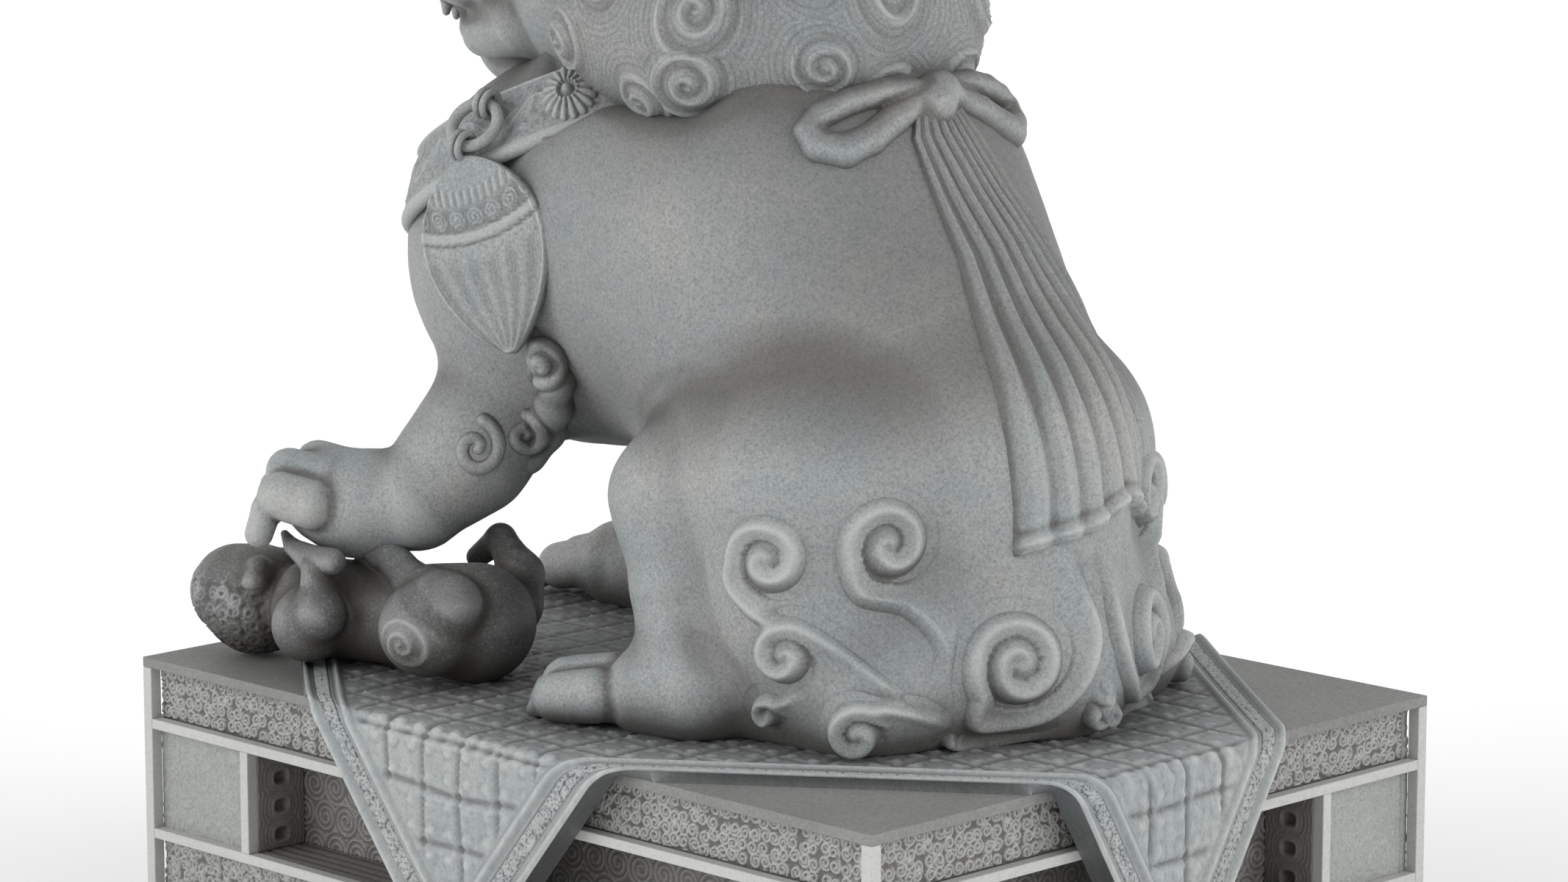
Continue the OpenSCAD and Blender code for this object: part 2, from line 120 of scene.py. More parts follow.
class LionStage(bpy.types.PropertyGroup):
    """Camera and light."""
    camera_at: bpy.props.FloatVectorProperty(
        name="Camera", description="Place of the camera", default=(4.1596, 4.1911, 1.6955),
        size=3, unit="LENGTH")
    camera_turn: bpy.props.FloatVectorProperty(
        name="Camera turn", description="Turn of the camera", size=3, subtype="EULER",
        default=(1.39537, 0.0, 2.35806))
    lens: bpy.props.FloatProperty(
        name="Lens", description="Focal length of the camera", default=119.46, min=20, max=300,
        unit="CAMERA")
    sky: bpy.props.FloatProperty(
        name="Sky", description="Strength of the even light all round", default=0.74, min=0, max=10)
    key: bpy.props.FloatProperty(
        name="Side lights", description="Strength of the two soft lights", default=1.6, min=0,
        max=20)


def stone_props():
    """Colours and grain set for this scene."""
    return bpy.context.scene.lion_stone


def carving():
    """Mesh sizes and relief depths set for this scene."""
    return bpy.context.scene.lion_carving


# ---- meshes from whole arrays ----

def grid_quads(rows, cols, wrap_rows=False, wrap_cols=False, start=0):
    """Quads of a rows by cols grid of vertices, closed round on itself where asked."""
    i = np.arange(rows * cols).reshape(rows, cols)
    if wrap_rows:
        i = np.vstack([i, i[:1]])
    if wrap_cols:
        i = np.hstack([i, i[:, :1]])
    return np.stack([i[:-1, :-1], i[1:, :-1], i[1:, 1:], i[:-1, 1:]], -1).reshape(-1, 4) + start


def enclosed(points, quads, others):
    """Volume enclosed by the faces: a sixth of the sum of the triple products of their fans."""
    a, b, c, d = (points[quads[:, k]] for k in range(4))
    total = (a * np.cross(b, c)).sum() + (a * np.cross(c, d)).sum()
    for face in others:
        p = points[np.asarray(face)]
        total += (p[0] * np.cross(p[1:-1], p[2:])).sum()
    return total / 6


def new_mesh(name, points, quads, others=(), smooth=True):
    """A mesh from vertex and face arrays, turned so that its faces point outwards."""
    points = np.asarray(points, float).reshape(-1, 3)
    quads = np.asarray(quads, int).reshape(-1, 4)
    if enclosed(points - points.mean(0), quads, others) < 0:
        quads = quads[:, ::-1]
        others = [np.asarray(f)[::-1] for f in others]
    corners = np.concatenate([quads.ravel()] + [np.asarray(f) for f in others]).astype(np.int32)
    sizes = np.concatenate([np.full(len(quads), 4), [len(f) for f in others]]).astype(np.int32)
    mesh = bpy.data.meshes.new(name)
    mesh.vertices.add(len(points))
    mesh.vertices.foreach_set("co", points.astype(np.float32).ravel())
    mesh.loops.add(len(corners))
    mesh.loops.foreach_set("vertex_index", corners)
    mesh.polygons.add(len(sizes))
    mesh.polygons.foreach_set("loop_start", (np.cumsum(sizes) - sizes).astype(np.int32))
    mesh.polygons.foreach_set("use_smooth", np.full(len(sizes), smooth))
    mesh.update(calc_edges=True)
    mesh.validate()
    return mesh


def add_piece(name, mesh, finish, slot, stands_for=(), body=BODY, **marks):
    """Puts a mesh in the scene as a piece. Marks are per-vertex numbers its stone reads."""
    for mark, values in marks.items():
        layer = mesh.attributes.new(mark, "FLOAT", "POINT")
        layer.data.foreach_set("value", np.asarray(values, np.float32).ravel())
    piece = bpy.data.objects.new(f"{name}_carved", mesh)
    bpy.context.scene.collection.objects.link(piece)
    mesh.materials.append(finish)
    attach(piece, body)
    if stands_for:
        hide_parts(*stands_for)
    return piece


def backed_grid(front, back, step):
    """Closed slab: a fine front grid, a back grid with every step-th line, and side faces
    that join a run of step front edges to one back edge."""
    rows, cols = front.shape[:2]
    brows, bcols = back.shape[:2]
    points = np.vstack([front.reshape(-1, 3), back.reshape(-1, 3)])
    f = np.arange(rows * cols).reshape(rows, cols)
    b = np.arange(brows * bcols).reshape(brows, bcols) + rows * cols
    quads = np.vstack([grid_quads(rows, cols), grid_quads(brows, bcols, start=rows * cols)[:, ::-1]])
    others = []
    for fine, coarse, turn in ((f[0], b[0], 1), (f[-1], b[-1], -1), (f[:, 0], b[:, 0], -1),
                               (f[:, -1], b[:, -1], 1)):
        for k in range(len(coarse) - 1):
            face = np.concatenate([fine[k * step:(k + 1) * step + 1], coarse[[k + 1, k]]])
            others.append(face[::turn])
    return points, quads, others


def spaced(low, high, pitch, step=1):
    """Evenly spaced values from low to high about a pitch apart, a whole number of steps."""
    count = max(1, int(round((high - low) / pitch / step))) * step
    return np.linspace(low, high, count + 1)


def unit_vectors(v):
    """Each vector divided by its length."""
    return v / np.maximum(np.linalg.norm(v, axis=-1, keepdims=True), 1e-12)


def grid_normals(p, wrap=False):
    """Normals of a grid surface: the cross product of its two finite differences."""
    du = np.gradient(p, axis=0)
    if wrap:
        padded = np.concatenate([p[:, -2:-1], p, p[:, 1:2]], 1)
        dv = np.gradient(padded, axis=1)[:, 1:-1]
    else:
        dv = np.gradient(p, axis=1)
    return unit_vectors(np.cross(du, dv))


def smooth_step(low, high, x):
    """Step from 0 at low to 1 at high, level at both ends: t * t * (3 - 2t)."""
    t = np.clip((x - low) / (high - low), 0, 1)
    return t * t * (3 - 2 * t)


def bell(x, width):
    """Round ridge: one at x = 0, falling to nothing about two widths away."""
    return np.exp(-(x / width) ** 2)


def scatter(i, j, seed):
    """A repeatable number from 0 to 1 for each whole-numbered cell."""
    return np.modf(np.abs(np.sin(i * 127.1 + j * 311.7 + seed * 74.7) * 43758.5453))[0]


def ripple(p, wave, seed=0.0):
    """Gentle hand-worked unevenness from -1 to 1: a sum of crossed sines."""
    x, y, z = (p[..., k] * TURN / wave for k in range(3))
    return (np.sin(x + 1.3 * np.sin(0.7 * y + seed)) + np.sin(y * 1.1 + 1.7 * np.sin(0.6 * z + seed))
            + np.sin(z * 0.9 + 1.5 * np.sin(0.8 * x + seed))) / 3


# ---- fields: distance to the skin of a body made of tapered limbs ----

def round_cone(p, a, b):
    """Distance to a straight limb whose round section tapers from ball a to ball b: to the
    nearer ball past the ends, and to the cone that touches both balls between them."""
    a, b = np.asarray(a, p.dtype), np.asarray(b, p.dtype)
    along = b[:3] - a[:3]
    taper = a[3] - b[3]
    l2 = along @ along
    a2 = l2 - taper * taper
    pa = p - a[:3]
    if a2 <= 0:
        big = a if a[3] > b[3] else b
        return np.sqrt(((p - big[:3]) ** 2).sum(-1)) - big[3]
    y = pa @ along
    z = y - l2
    x2 = np.maximum((pa * pa).sum(-1) - y * y / l2, 0) * l2 * l2
    y2 = y * y * l2
    z2 = z * z * l2
    k = np.sign(taper) * taper * taper * x2
    at_b = np.sqrt(x2 + z2) / l2 - b[3]
    at_a = np.sqrt(x2 + y2) / l2 - a[3]
    between = (np.sqrt(x2 * a2 / l2) + y * taper) / l2 - a[3]
    return np.where(np.sign(z) * a2 * z2 > k, at_b, np.where(np.sign(y) * a2 * y2 < k, at_a, between))


def smooth_min(a, b, k):
    """Union with a fillet: the lesser distance, less h*h*k/4 where the two are within k."""
    h = np.maximum(k - np.abs(a - b), 0) / k
    return np.minimum(a, b) - h * h * k / 4


def both_sides(forms):
    """The forms and their mirror images across the lion's middle plane."""
    return forms + [(k, [(-x, y, z, r) for x, y, z, r in balls]) for k, balls in forms]


def chain(p, balls):
    """Distance to a row of balls joined by cones."""
    if len(balls) == 1:
        return np.sqrt(((p - np.asarray(balls[0][:3], p.dtype)) ** 2).sum(-1)) - balls[0][3]
    total = round_cone(p, balls[0], balls[1])
    for a, b in zip(balls[1:], balls[2:]):
        total = smooth_min(total, round_cone(p, a, b), 0.12 * b[3])
    return total


def field(forms, p, floor=None):
    """Smooth union of all the limbs, cut flat at a floor where one is given."""
    total = chain(p, forms[0][1])
    for k, balls in forms[1:]:
        total = smooth_min(total, chain(p, balls), k)
    return total if floor is None else np.maximum(total, floor - p[..., 2])


def slopes(forms, p, reach, floor=None):
    """Gradient and curvature of a field, from its values a little way off on each axis."""
    here = field(forms, p, floor)
    grad, bend = [], -6 * here
    for axis in range(3):
        step = np.zeros(3)
        step[axis] = reach
        up, down = field(forms, p + step, floor), field(forms, p - step, floor)
        grad.append(up - down)
        bend = bend + up + down
    return here, unit_vectors(np.stack(grad, -1)), bend / reach ** 2


def skin(forms, cell, floor=None):
    """Skin of a field: the distances on a grid of cells, meshed, then drawn onto the true
    surface by Newton steps. Only the cells near each limb are worked out for it."""
    balls = np.array([ball for _, chained in forms for ball in chained])
    low = (balls[:, :3] - balls[:, 3:]).min(0) - 4 * cell
    high = (balls[:, :3] + balls[:, 3:]).max(0) + 4 * cell
    if floor is not None:
        low[2] = floor - 4 * cell
    count = np.ceil((high - low) / cell).astype(int) + 1
    axes = [low[k] + cell * np.arange(count[k]) for k in range(3)]
    far = 40.0
    values = np.full(count, far, np.float32)
    for k, chained in forms:
        some = np.array(chained)
        lo = (some[:, :3] - some[:, 3:]).min(0) - far
        hi = (some[:, :3] + some[:, 3:]).max(0) + far
        cut = tuple(slice(*np.clip([int((lo[i] - low[i]) / cell), int((hi[i] - low[i]) / cell) + 2],
                                   0, count[i])) for i in range(3))
        at = np.stack(np.meshgrid(*(axes[i][cut[i]] for i in range(3)), indexing="ij"), -1)
        values[cut] = smooth_min(values[cut], chain(at.astype(np.float32), chained), min(k, far))
    if floor is not None:
        values = np.maximum(values, (floor - axes[2]).astype(np.float32)[None, None, :])
    grid = openvdb.FloatGrid(far)
    grid.copyFromArray(values)
    points, quads = grid.convertToQuads(0.0)
    points = low + np.asarray(points, float) * cell
    for _ in range(3):
        here, normal, _ = slopes(forms, points, 0.5, floor)
        points = points - normal * np.clip(here, -cell, cell)[:, None]
    return points, np.asarray(quads, int)


# ---- the lion's forms: balls as x, y, z, radius in thousandths of its height ----

def lion_forms():
    """Trunk, hind legs, raised foreleg and standing foreleg: each limb is the width of its
    fillet and a row of balls."""
    trunk = [
        (60, [(20, -225, 392, 184), (0, 35, 432, 200)]),
        (60, [(-20, -225, 392, 184), (0, 35, 432, 200)]),
        (60, [(0, 35, 432, 200), (0, 118, 310, 205), (0, 200, 225, 186), (0, 262, 120, 150)]),
        (60, [(0, -60, 512, 186), (0, -70, 600, 150)]),
        # pier under the belly, round the front dowel
        (26, [(0, 106, 0, 40), (0, 112, 72, 44)]),
    ]
    hind = [
        (46, [(150, 200, 132, 116), (152, 198, 224, 116)]),
        (34, [(160, 120, 214, 98), (205, 86, 207, 62)]),
        (26, [(205, 86, 207, 62), (222, 112, 134, 54), (243, 142, 50, 50)]),
        (24, [(250, 150, 40, 46), (262, 100, 34, 42)]),
        (46, [(155, 225, 62, 92), (170, 285, 42, 66)]),
        (46, [(95, 300, 66, 82), (0, 335, 60, 80)]),
        # toes and claws
        (5, [(296, 66, 30, 26), (304, 22, 22, 23)]),
        (4, [(266, 60, 40, 26), (276, 6, 30, 24)]),
        (4, [(236, 64, 38, 26), (242, 8, 26, 23)]),
        (5, [(304, 4, 15, 13), (303, -12, 5, 7)]),
        (5, [(277, -18, 21, 14), (277, -38, 6, 7)]),
        (5, [(242, -16, 18, 13), (242, -34, 5, 7)]),
    ]
    raised = [
        (44, [(112, -205, 372, 100), (136, -213, 286, 68), (186, -232, 206, 56)]),
        (30, [(186, -232, 206, 56), (232, -258, 163, 50), (262, -318, 152, 46)]),
        (26, [(256, -310, 154, 46), (266, -350, 158, 44)]),
        (5, [(312, -318, 160, 24), (326, -348, 166, 23)]),
        (5, [(284, -330, 176, 25), (294, -372, 182, 24)]),
        (5, [(250, -330, 178, 25), (254, -376, 184, 24)]),
        (5, [(218, -318, 164, 23), (216, -360, 170, 22)]),
        (5, [(333, -362, 152, 15), (334, -372, 126, 14)]),
        (5, [(296, -392, 166, 15), (297, -402, 138, 14)]),
        (5, [(254, -396, 168, 15), (254, -406, 140, 14)]),
        (5, [(214, -378, 154, 14), (212, -388, 128, 13)]),
    ]
    standing = [
        (44, [(-115, -215, 300, 92), (-124, -240, 170, 62), (-124, -250, 70, 56)]),
        (24, [(-122, -280, 42, 52), (-114, -336, 38, 46)]),
        (12, [(-152, -340, 40, 26), (-152, -386, 28, 24)]),
        (10, [(-122, -350, 46, 27), (-120, -404, 34, 24)]),
        (10, [(-90, -344, 44, 26), (-84, -396, 32, 24)]),
        (5, [(-153, -404, 22, 14), (-153, -424, 8, 8)]),
        (5, [(-119, -424, 26, 15), (-118, -446, 9, 8)]),
        (5, [(-82, -416, 24, 14), (-81, -436, 8, 8)]),
    ]
    return trunk + both_sides(hind) + raised + standing


def face_forms():
    """Muzzle, brow, jaw and nose in the middle, and cheek, eye, teeth and ear on each side."""
    middle = [
        (30, [(0, -205, 722, 148), (0, -150, 682, 156)]),
        (36, [(0, -300, 700, 92), (0, -356, 690, 74)]),
        (30, [(0, -372, 738, 40), (0, -420, 712, 40)]),
        (26, [(0, -240, 610, 74), (0, -352, 586, 48)]),
        (12, [(-40, -378, 598, 18), (0, -398, 592, 20), (40, -378, 598, 18)]),
        (10, [(0, -300, 640, 34), (0, -366, 634, 26)]),
        (18, [(0, -300, 812, 22), (0, -262, 868, 16)]),
    ]
    sides = [
        (14, [(24, -436, 706, 20), (40, -418, 702, 16)]),
        (20, [(40, -392, 662, 46), (92, -330, 668, 44)]),
        (20, [(100, -270, 690, 62)]),
        (6, [(66, -318, 780, 34)]),
        (12, [(24, -348, 800, 18), (78, -330, 826, 22), (126, -280, 808, 20), (150, -236, 780, 12)]),
        (10, [(36, -350, 752, 14), (82, -338, 744, 13), (118, -296, 756, 10)]),
        (16, [(84, -250, 620, 40), (62, -340, 596, 24)]),
        (4, [(36, -410, 636, 12), (37, -413, 606, 4)]),
        (4, [(70, -388, 634, 9), (71, -389, 614, 4)]),
        (4, [(34, -384, 600, 12), (36, -394, 636, 4)]),
        (14, [(168, -178, 792, 30), (196, -170, 824, 24), (204, -160, 856, 10)]),
    ]
    return middle + both_sides(sides)


def cub_forms():
    """The cub on its back: trunk, head, and legs that reach up to the paw."""
    return [
        (20, [(276, -350, 56, 50), (246, -262, 58, 48), (236, -168, 62, 58)]),
        (10, [(290, -430, 56, 54), (296, -452, 62, 46)]),
        (10, [(292, -480, 74, 20), (300, -484, 60, 18)]),
        (14, [(318, -318, 50, 36)]),
        (10, [(322, -316, 58, 28), (328, -288, 66, 24)]),
        (8, [(328, -290, 66, 21), (322, -300, 104, 15)]),
        (6, [(312, -346, 121, 9), (318, -312, 115, 14), (322, -276, 119, 13)]),
        (4, [(310, -352, 122, 8), (302, -372, 130, 4)]),
        (14, [(296, -170, 66, 46), (292, -158, 84, 36)]),
        (10, [(288, -140, 92, 27), (270, -218, 100, 17)]),
        (8, [(270, -218, 100, 17), (262, -262, 118, 17)]),
        (4, [(262, -262, 122, 11), (256, -292, 138, 6)]),
        (4, [(268, -270, 116, 11), (262, -306, 124, 7)]),
        (4, [(260, -276, 108, 10), (256, -312, 108, 6)]),
        (12, [(176, -184, 70, 32), (166, -182, 96, 24)]),
        (8, [(166, -182, 100, 20), (162, -214, 128, 14)]),
        (6, [(162, -214, 128, 14), (166, -244, 106, 11)]),
        (10, [(312, -400, 92, 12), (322, -392, 84, 12)]),
        (10, [(262, -408, 92, 14), (254, -400, 84, 12)]),
    ]


# ---- stone ----

def node(tree, kind, place=(0, 0), **settings):
    """A new shader node with its settings."""
    made = tree.nodes.new(kind)
    made.location = place
    for key, value in settings.items():
        setattr(made, key, value)
    return made


def mixed(tree, factor, first, second, blend="MIX"):
    """Output of a colour mix. Each side is a socket or a colour."""
    made = node(tree, "ShaderNodeMix", data_type="RGBA", blend_type=blend)
    for socket, value in zip((made.inputs[0], made.inputs[6], made.inputs[7]), (factor, first, second)):
        if isinstance(value, bpy.types.NodeSocket):
            tree.links.new(value, socket)
        else:
            socket.default_value = value if np.isscalar(value) else (*value, 1)
    return made.outputs[2]


def ranged(tree, value, low, high, to_low, to_high):
    """Output of a clamped map from one range to another."""
    made = node(tree, "ShaderNodeMapRange")
    made.inputs[1].default_value, made.inputs[2].default_value = low, high
    made.inputs[3].default_value, made.inputs[4].default_value = to_low, to_high
    tree.links.new(value, made.inputs[0])
    return made.outputs[0]


def noise(tree, at, scale, detail, rough=0.6):
    """Output of a noise texture."""
    made = node(tree, "ShaderNodeTexNoise")
    made.inputs["Scale"].default_value = scale
    made.inputs["Detail"].default_value = detail
    made.inputs["Roughness"].default_value = rough
    tree.links.new(at, made.inputs["Vector"])
    return made.outputs["Fac"]


def stone(name, warm, cool, speckle=0.5, ridge=0.55, shade_share=0.75, tooling=0.0, strands=False):
    """Carved stone: cool and warm mottling, fine dark and light speckle, pale ridges, painted shade in
    the hollows, and tool marks. The "carve" attribute is below nought in hollows, where the painted shade is
    laid."""
    s = stone_props()
    finish = bpy.data.materials.new(name)
    finish.use_nodes = True
    tree = finish.node_tree
    shader = tree.nodes["Principled BSDF"]
    at = node(tree, "ShaderNodeTexCoord").outputs["Object"]
    carve = node(tree, "ShaderNodeAttribute", attribute_name="carve").outputs["Fac"]
    mottle = ranged(tree, noise(tree, at, 6.5, 5), 0.36, 0.64, 0, 1)
    cloud = ranged(tree, noise(tree, at, 34, 4, 0.7), 0.3, 0.7, 0, 1)
    fine = noise(tree, at, 1 / s.grain, 3, 0.75)
    colour = mixed(tree, mottle, warm, cool)
    colour = mixed(tree, ranged(tree, cloud, 0, 1, 0, 0.35), colour, cool)
    coarse = noise(tree, at, 0.32 / s.grain, 4, 0.8)
    colour = mixed(tree, ranged(tree, coarse, 0.38, 0.52, 0.5 * speckle, 0), colour,
                   tuple(0.62 * c for c in cool))
    dark = ranged(tree, fine, 0.36, 0.5, speckle, 0)
    colour = mixed(tree, dark, colour, tuple(0.42 * c for c in cool))
    light = ranged(tree, fine, 0.55, 0.72, 0, speckle * 0.5)
    colour = mixed(tree, light, colour, tuple(s.ridge))
    colour = mixed(tree, ranged(tree, carve, 0.08, 1, 0, ridge), colour, tuple(s.ridge))
    # Painted shade: hollows, creases and shut-in places darkened towards the shade colour by the carve mark
    colour = mixed(tree, ranged(tree, carve, -1, -0.05, shade_share, 0), colour, tuple(s.painted_shade))
    height = ranged(tree, fine, 0.3, 0.7, 0, 1)
    if strands:
        phase = node(tree, "ShaderNodeAttribute", attribute_name="strand").outputs["Fac"]
        wave = node(tree, "ShaderNodeMath", operation="SINE")
        times = node(tree, "ShaderNodeMath", operation="MULTIPLY")
        times.inputs[1].default_value = TURN
        tree.links.new(phase, times.inputs[0])
        tree.links.new(times.outputs[0], wave.inputs[0])
        # Painted shade in the grooves between the strands
        groove = ranged(tree, wave.outputs[0], -1, -0.1, 0.30, 0)
        colour = mixed(tree, groove, colour, tuple(0.35 * c for c in cool))
        height = mixed_height(tree, height, ranged(tree, wave.outputs[0], -1, 0, 0, 1), 0.6)
    if tooling:
        stretch = node(tree, "ShaderNodeMapping")
        stretch.inputs["Scale"].default_value = (1, 1, 0.12)
        tree.links.new(at, stretch.inputs["Vector"])
        marks = ranged(tree, noise(tree, stretch.outputs[0], 130, 2), 0.35, 0.65, 0, 1)
        colour = mixed(tree, ranged(tree, marks, 0, 1, tooling, 0), colour, tuple(0.6 * c for c in cool))
        height = mixed_height(tree, height, marks, 0.5)
    tree.links.new(colour, shader.inputs["Base Color"])
    tree.links.new(ranged(tree, fine, 0.3, 0.7, 0.62, 0.46), shader.inputs["Roughness"])
    shader.inputs["Specular IOR Level"].default_value = 0.42
    bump = node(tree, "ShaderNodeBump")
    bump.inputs["Strength"].default_value = 0.35
    bump.inputs["Distance"].default_value = 0.0006
    tree.links.new(height, bump.inputs["Height"])
    tree.links.new(bump.outputs["Normal"], shader.inputs["Normal"])
    return finish


def mixed_height(tree, first, second, share):
    """Output of a weighted mean of two heights."""
    made = node(tree, "ShaderNodeMix", data_type="FLOAT")
    made.inputs[0].default_value = share
    tree.links.new(first, made.inputs[2])
    tree.links.new(second, made.inputs[3])
    return made.outputs[0]


def finish_of(kind):
    """The finish called for by name, made once."""
    name = f"{kind}_finish"
    if name in bpy.data.materials:
        return bpy.data.materials[name]
    s = stone_props()
    recipes = {
        "lion_stone": dict(warm=tuple(s.warm), cool=tuple(s.cool)),
        # Painted shade: the mane's stone is the lion's stone darkened to 0.84
        "shaded_hair_stone": dict(warm=tuple(0.84 * c for c in s.warm), cool=tuple(0.84 * c for c in s.cool),
                           strands=True),
        # Painted shade: the cub's darker stone stands in for the shade under the paw
        "cub_stone": dict(warm=tuple(s.cub_shade_warm), cool=tuple(s.cub_shade_cool)),
        "bar_stone": dict(warm=tuple(s.bar), cool=tuple(0.93 * c for c in s.bar), speckle=0.22),
        # Painted shade: the cap slab is the bars' stone darkened to about 0.4 for its shaded top face
        "shaded_cap_stone": dict(warm=tuple(0.46 * c for c in s.bar), cool=tuple(0.39 * c for c in s.bar),
                          speckle=0.3),
        "panel_stone": dict(warm=tuple(s.panel), cool=tuple(0.86 * c for c in s.panel), speckle=0.4),
        "frieze_stone": dict(warm=tuple(s.frieze), cool=tuple(0.9 * c for c in s.frieze),
                             speckle=0.25, ridge=0.38, shade_share=0.85),
        "niche_stone": dict(warm=tuple(s.niche), cool=tuple(0.8 * c for c in s.niche), speckle=0.3),
        "cloth_stone": dict(warm=tuple(s.cloth_warm), cool=tuple(s.cloth_cool), speckle=0.28,
                            tooling=0.3),
    }
    return stone(name, **recipes[kind])


def brushed_steel():
    """Steel of the hidden dowels: fine lines along Z in its roughness."""
    finish = bpy.data.materials.new("dowel_steel")
    finish.use_nodes = True
    tree = finish.node_tree
    shader = tree.nodes["Principled BSDF"]
    at = node(tree, "ShaderNodeTexCoord").outputs["Object"]
    stretch = node(tree, "ShaderNodeMapping")
    stretch.inputs["Scale"].default_value = (1, 1, 0.02)
    tree.links.new(at, stretch.inputs["Vector"])
    lines = noise(tree, stretch.outputs[0], 900, 2)
    steel = tuple(stone_props().steel)
    tree.links.new(mixed(tree, lines, steel, tuple(0.7 * c for c in steel)), shader.inputs["Base Color"])
    tree.links.new(ranged(tree, lines, 0.3, 0.7, 0.3, 0.45), shader.inputs["Roughness"])
    shader.inputs["Metallic"].default_value = 1.0
    return finish


# ---- carved patterns ----

def small_curls(u, v, cell, line, seed):
    """Dense comma-shaped scrolls, from 0 on the ground to 1 on the ridge: in each cell one arm
    whose radius grows with its angle, with its own turn, hand and place."""
    best = np.zeros(np.broadcast(u, v).shape)
    iu, iv = np.floor(u / cell), np.floor(v / cell)
    for di in (-1, 0, 1):
        for dj in (-1, 0, 1):
            ci, cj = iu + di, iv + dj
            x = u / cell - ci - 0.5 - 0.4 * (scatter(ci, cj, seed) - 0.5)
            y = v / cell - cj - 0.5 - 0.4 * (scatter(ci, cj, seed + 1) - 0.5)
            hand = np.where(scatter(ci, cj, seed + 2) > 0.5, 1, -1)
            turn = np.mod(hand * np.arctan2(y, x) - TURN * scatter(ci, cj, seed + 3), TURN)
            r = np.hypot(x, y)
            for lap in (0, 1):
                s = (turn / TURN + lap) / 1.75
                arm = 0.09 + 0.5 * s
                wide = line / cell * (0.9 + 0.3 * np.sin(np.pi * np.clip(s, 0, 1)))
                ridge = np.clip(1.35 - np.abs(r - arm) / wide, 0, 1) * smooth_step(1.0, 0.86, s)
                best = np.maximum(best, ridge)
    return best


def wave_spirals(u, v, pitch, seed):
    """Rows of large spirals of fine lines, from 0 to 1: the phase is the distance from the
    nearest centre less the angle about it, and rows are set half a pitch apart."""
    row = np.floor(v / pitch)
    best, nearest = np.zeros(np.broadcast(u, v).shape), np.full(np.broadcast(u, v).shape, 9.0)
    for di in (-1, 0, 1):
        for dj in (-1, 0, 1):
            rj = row + dj
            ci = np.floor(u / pitch - 0.5 * np.mod(rj, 2)) + di
            x = u / pitch - ci - 0.5 - 0.5 * np.mod(rj, 2)
            y = v / pitch - rj - 0.5
            hand = np.where(scatter(ci, rj, seed) > 0.35, 1, -1)
            r = np.hypot(x, y)
            phase = r * 5.2 - hand * np.arctan2(y, x) / TURN - scatter(ci, rj, seed + 1)
            line = 0.5 + 0.5 * np.cos(TURN * phase)
            line = line ** 2 * smooth_step(0.02, 0.1, r)
            take = r < nearest
            best = np.where(take, line, best)
            nearest = np.where(take, r, nearest)
    return best


def coil(centre, radius, turns, start, hand, count=110):
    """Path of a volute: it winds in from its outer end, its radius falling evenly with its
    angle."""
    s = np.linspace(0, 1, count)
    angle = np.radians(start) + hand * TURN * turns * s
    r = radius * (1 - 0.92 * s)
    return np.stack([centre[0] + r * np.cos(angle), centre[1] + r * np.sin(angle)], -1)


def through(knots, each=12):
    """Smooth curve through points: a Catmull-Rom spline, each span a cubic of four knots."""
    k = np.vstack([2 * knots[0] - knots[1], knots, 2 * knots[-1] - knots[-2]])
    t = np.linspace(0, 1, each, endpoint=False)[:, None, None]
    a, b, c, d = k[:-3], k[1:-2], k[2:-1], k[3:]
    spans = 0.5 * (2 * b + (c - a) * t + (2 * a - 5 * b + 4 * c - d) * t ** 2
                   + (3 * b - a - 3 * c + d) * t ** 3)
    return np.vstack([spans.transpose(1, 0, 2).reshape(-1, k.shape[1]), k[-2]])


def shell_patch(forms, axis, angle, height, reach=620.0, floor=None):
    """Points of a form's skin seen from a vertical axis: for each angle and height the field
    is followed inwards from far off, on a thin grid first, and then by Newton steps."""
    ray = np.stack([np.cos(angle), np.sin(angle), np.zeros_like(angle)], -1)
    base = np.stack([np.full_like(angle, axis[0]), np.full_like(angle, axis[1]), height], -1)
    thin = (slice(None, None, 6), slice(None, None, 6))
    r = np.full(angle[thin].shape, reach)
    for _ in range(40):
        r = r - np.clip(field(forms, base[thin] + ray[thin] * r[..., None], floor), -30, 60) * 0.9
    rows = np.linspace(0, r.shape[0] - 1, angle.shape[0])
    cols = np.linspace(0, r.shape[1] - 1, angle.shape[1])
    i, j = np.minimum(rows.astype(int), r.shape[0] - 2), np.minimum(cols.astype(int), r.shape[1] - 2)
    fi, fj = (rows - i)[:, None], (cols - j)[None]
    r = ((1 - fi) * (1 - fj) * r[i][:, j] + fi * (1 - fj) * r[i + 1][:, j]
         + (1 - fi) * fj * r[i][:, j + 1] + fi * fj * r[i + 1][:, j + 1])
    for _ in range(6):
        r = r - field(forms, base + ray * r[..., None], floor) * 0.85
    return base + ray * r[..., None]


# ---- pedestal ----

def turned(name, points):
    """Points modelled for the +X face, turned to the named face."""
    quarter = FACES.index(name)
    x, y, z = points[..., 0], points[..., 1], points[..., 2]
    for _ in range(quarter):
        x, y = -y, x
    return np.stack([x, y, z], -1)


def face_box(node_name, name):
    """Lowest and highest corner of a node, seen with its face turned to +X."""
    low, high = (np.array(c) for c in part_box(node_name))
    x0, y0, x1, y1 = low[0], low[1], high[0], high[1]
    for _ in range(FACES.index(name)):
        x0, y0, x1, y1 = y0, -x1, y1, -x0
    return np.array([x0, y0, low[2]]), np.array([x1, y1, high[2]])


def inner_edge(node_name, name):
    """Least distance of a two-sided node from the middle of its face."""
    mesh = frame["nodes"][node_name].data
    co = np.empty(len(mesh.vertices) * 3)
    mesh.vertices.foreach_get("co", co)
    axis = 1 if name in ("left", "right") else 0
    return np.abs(co.reshape(-1, 3)[:, axis]).min()


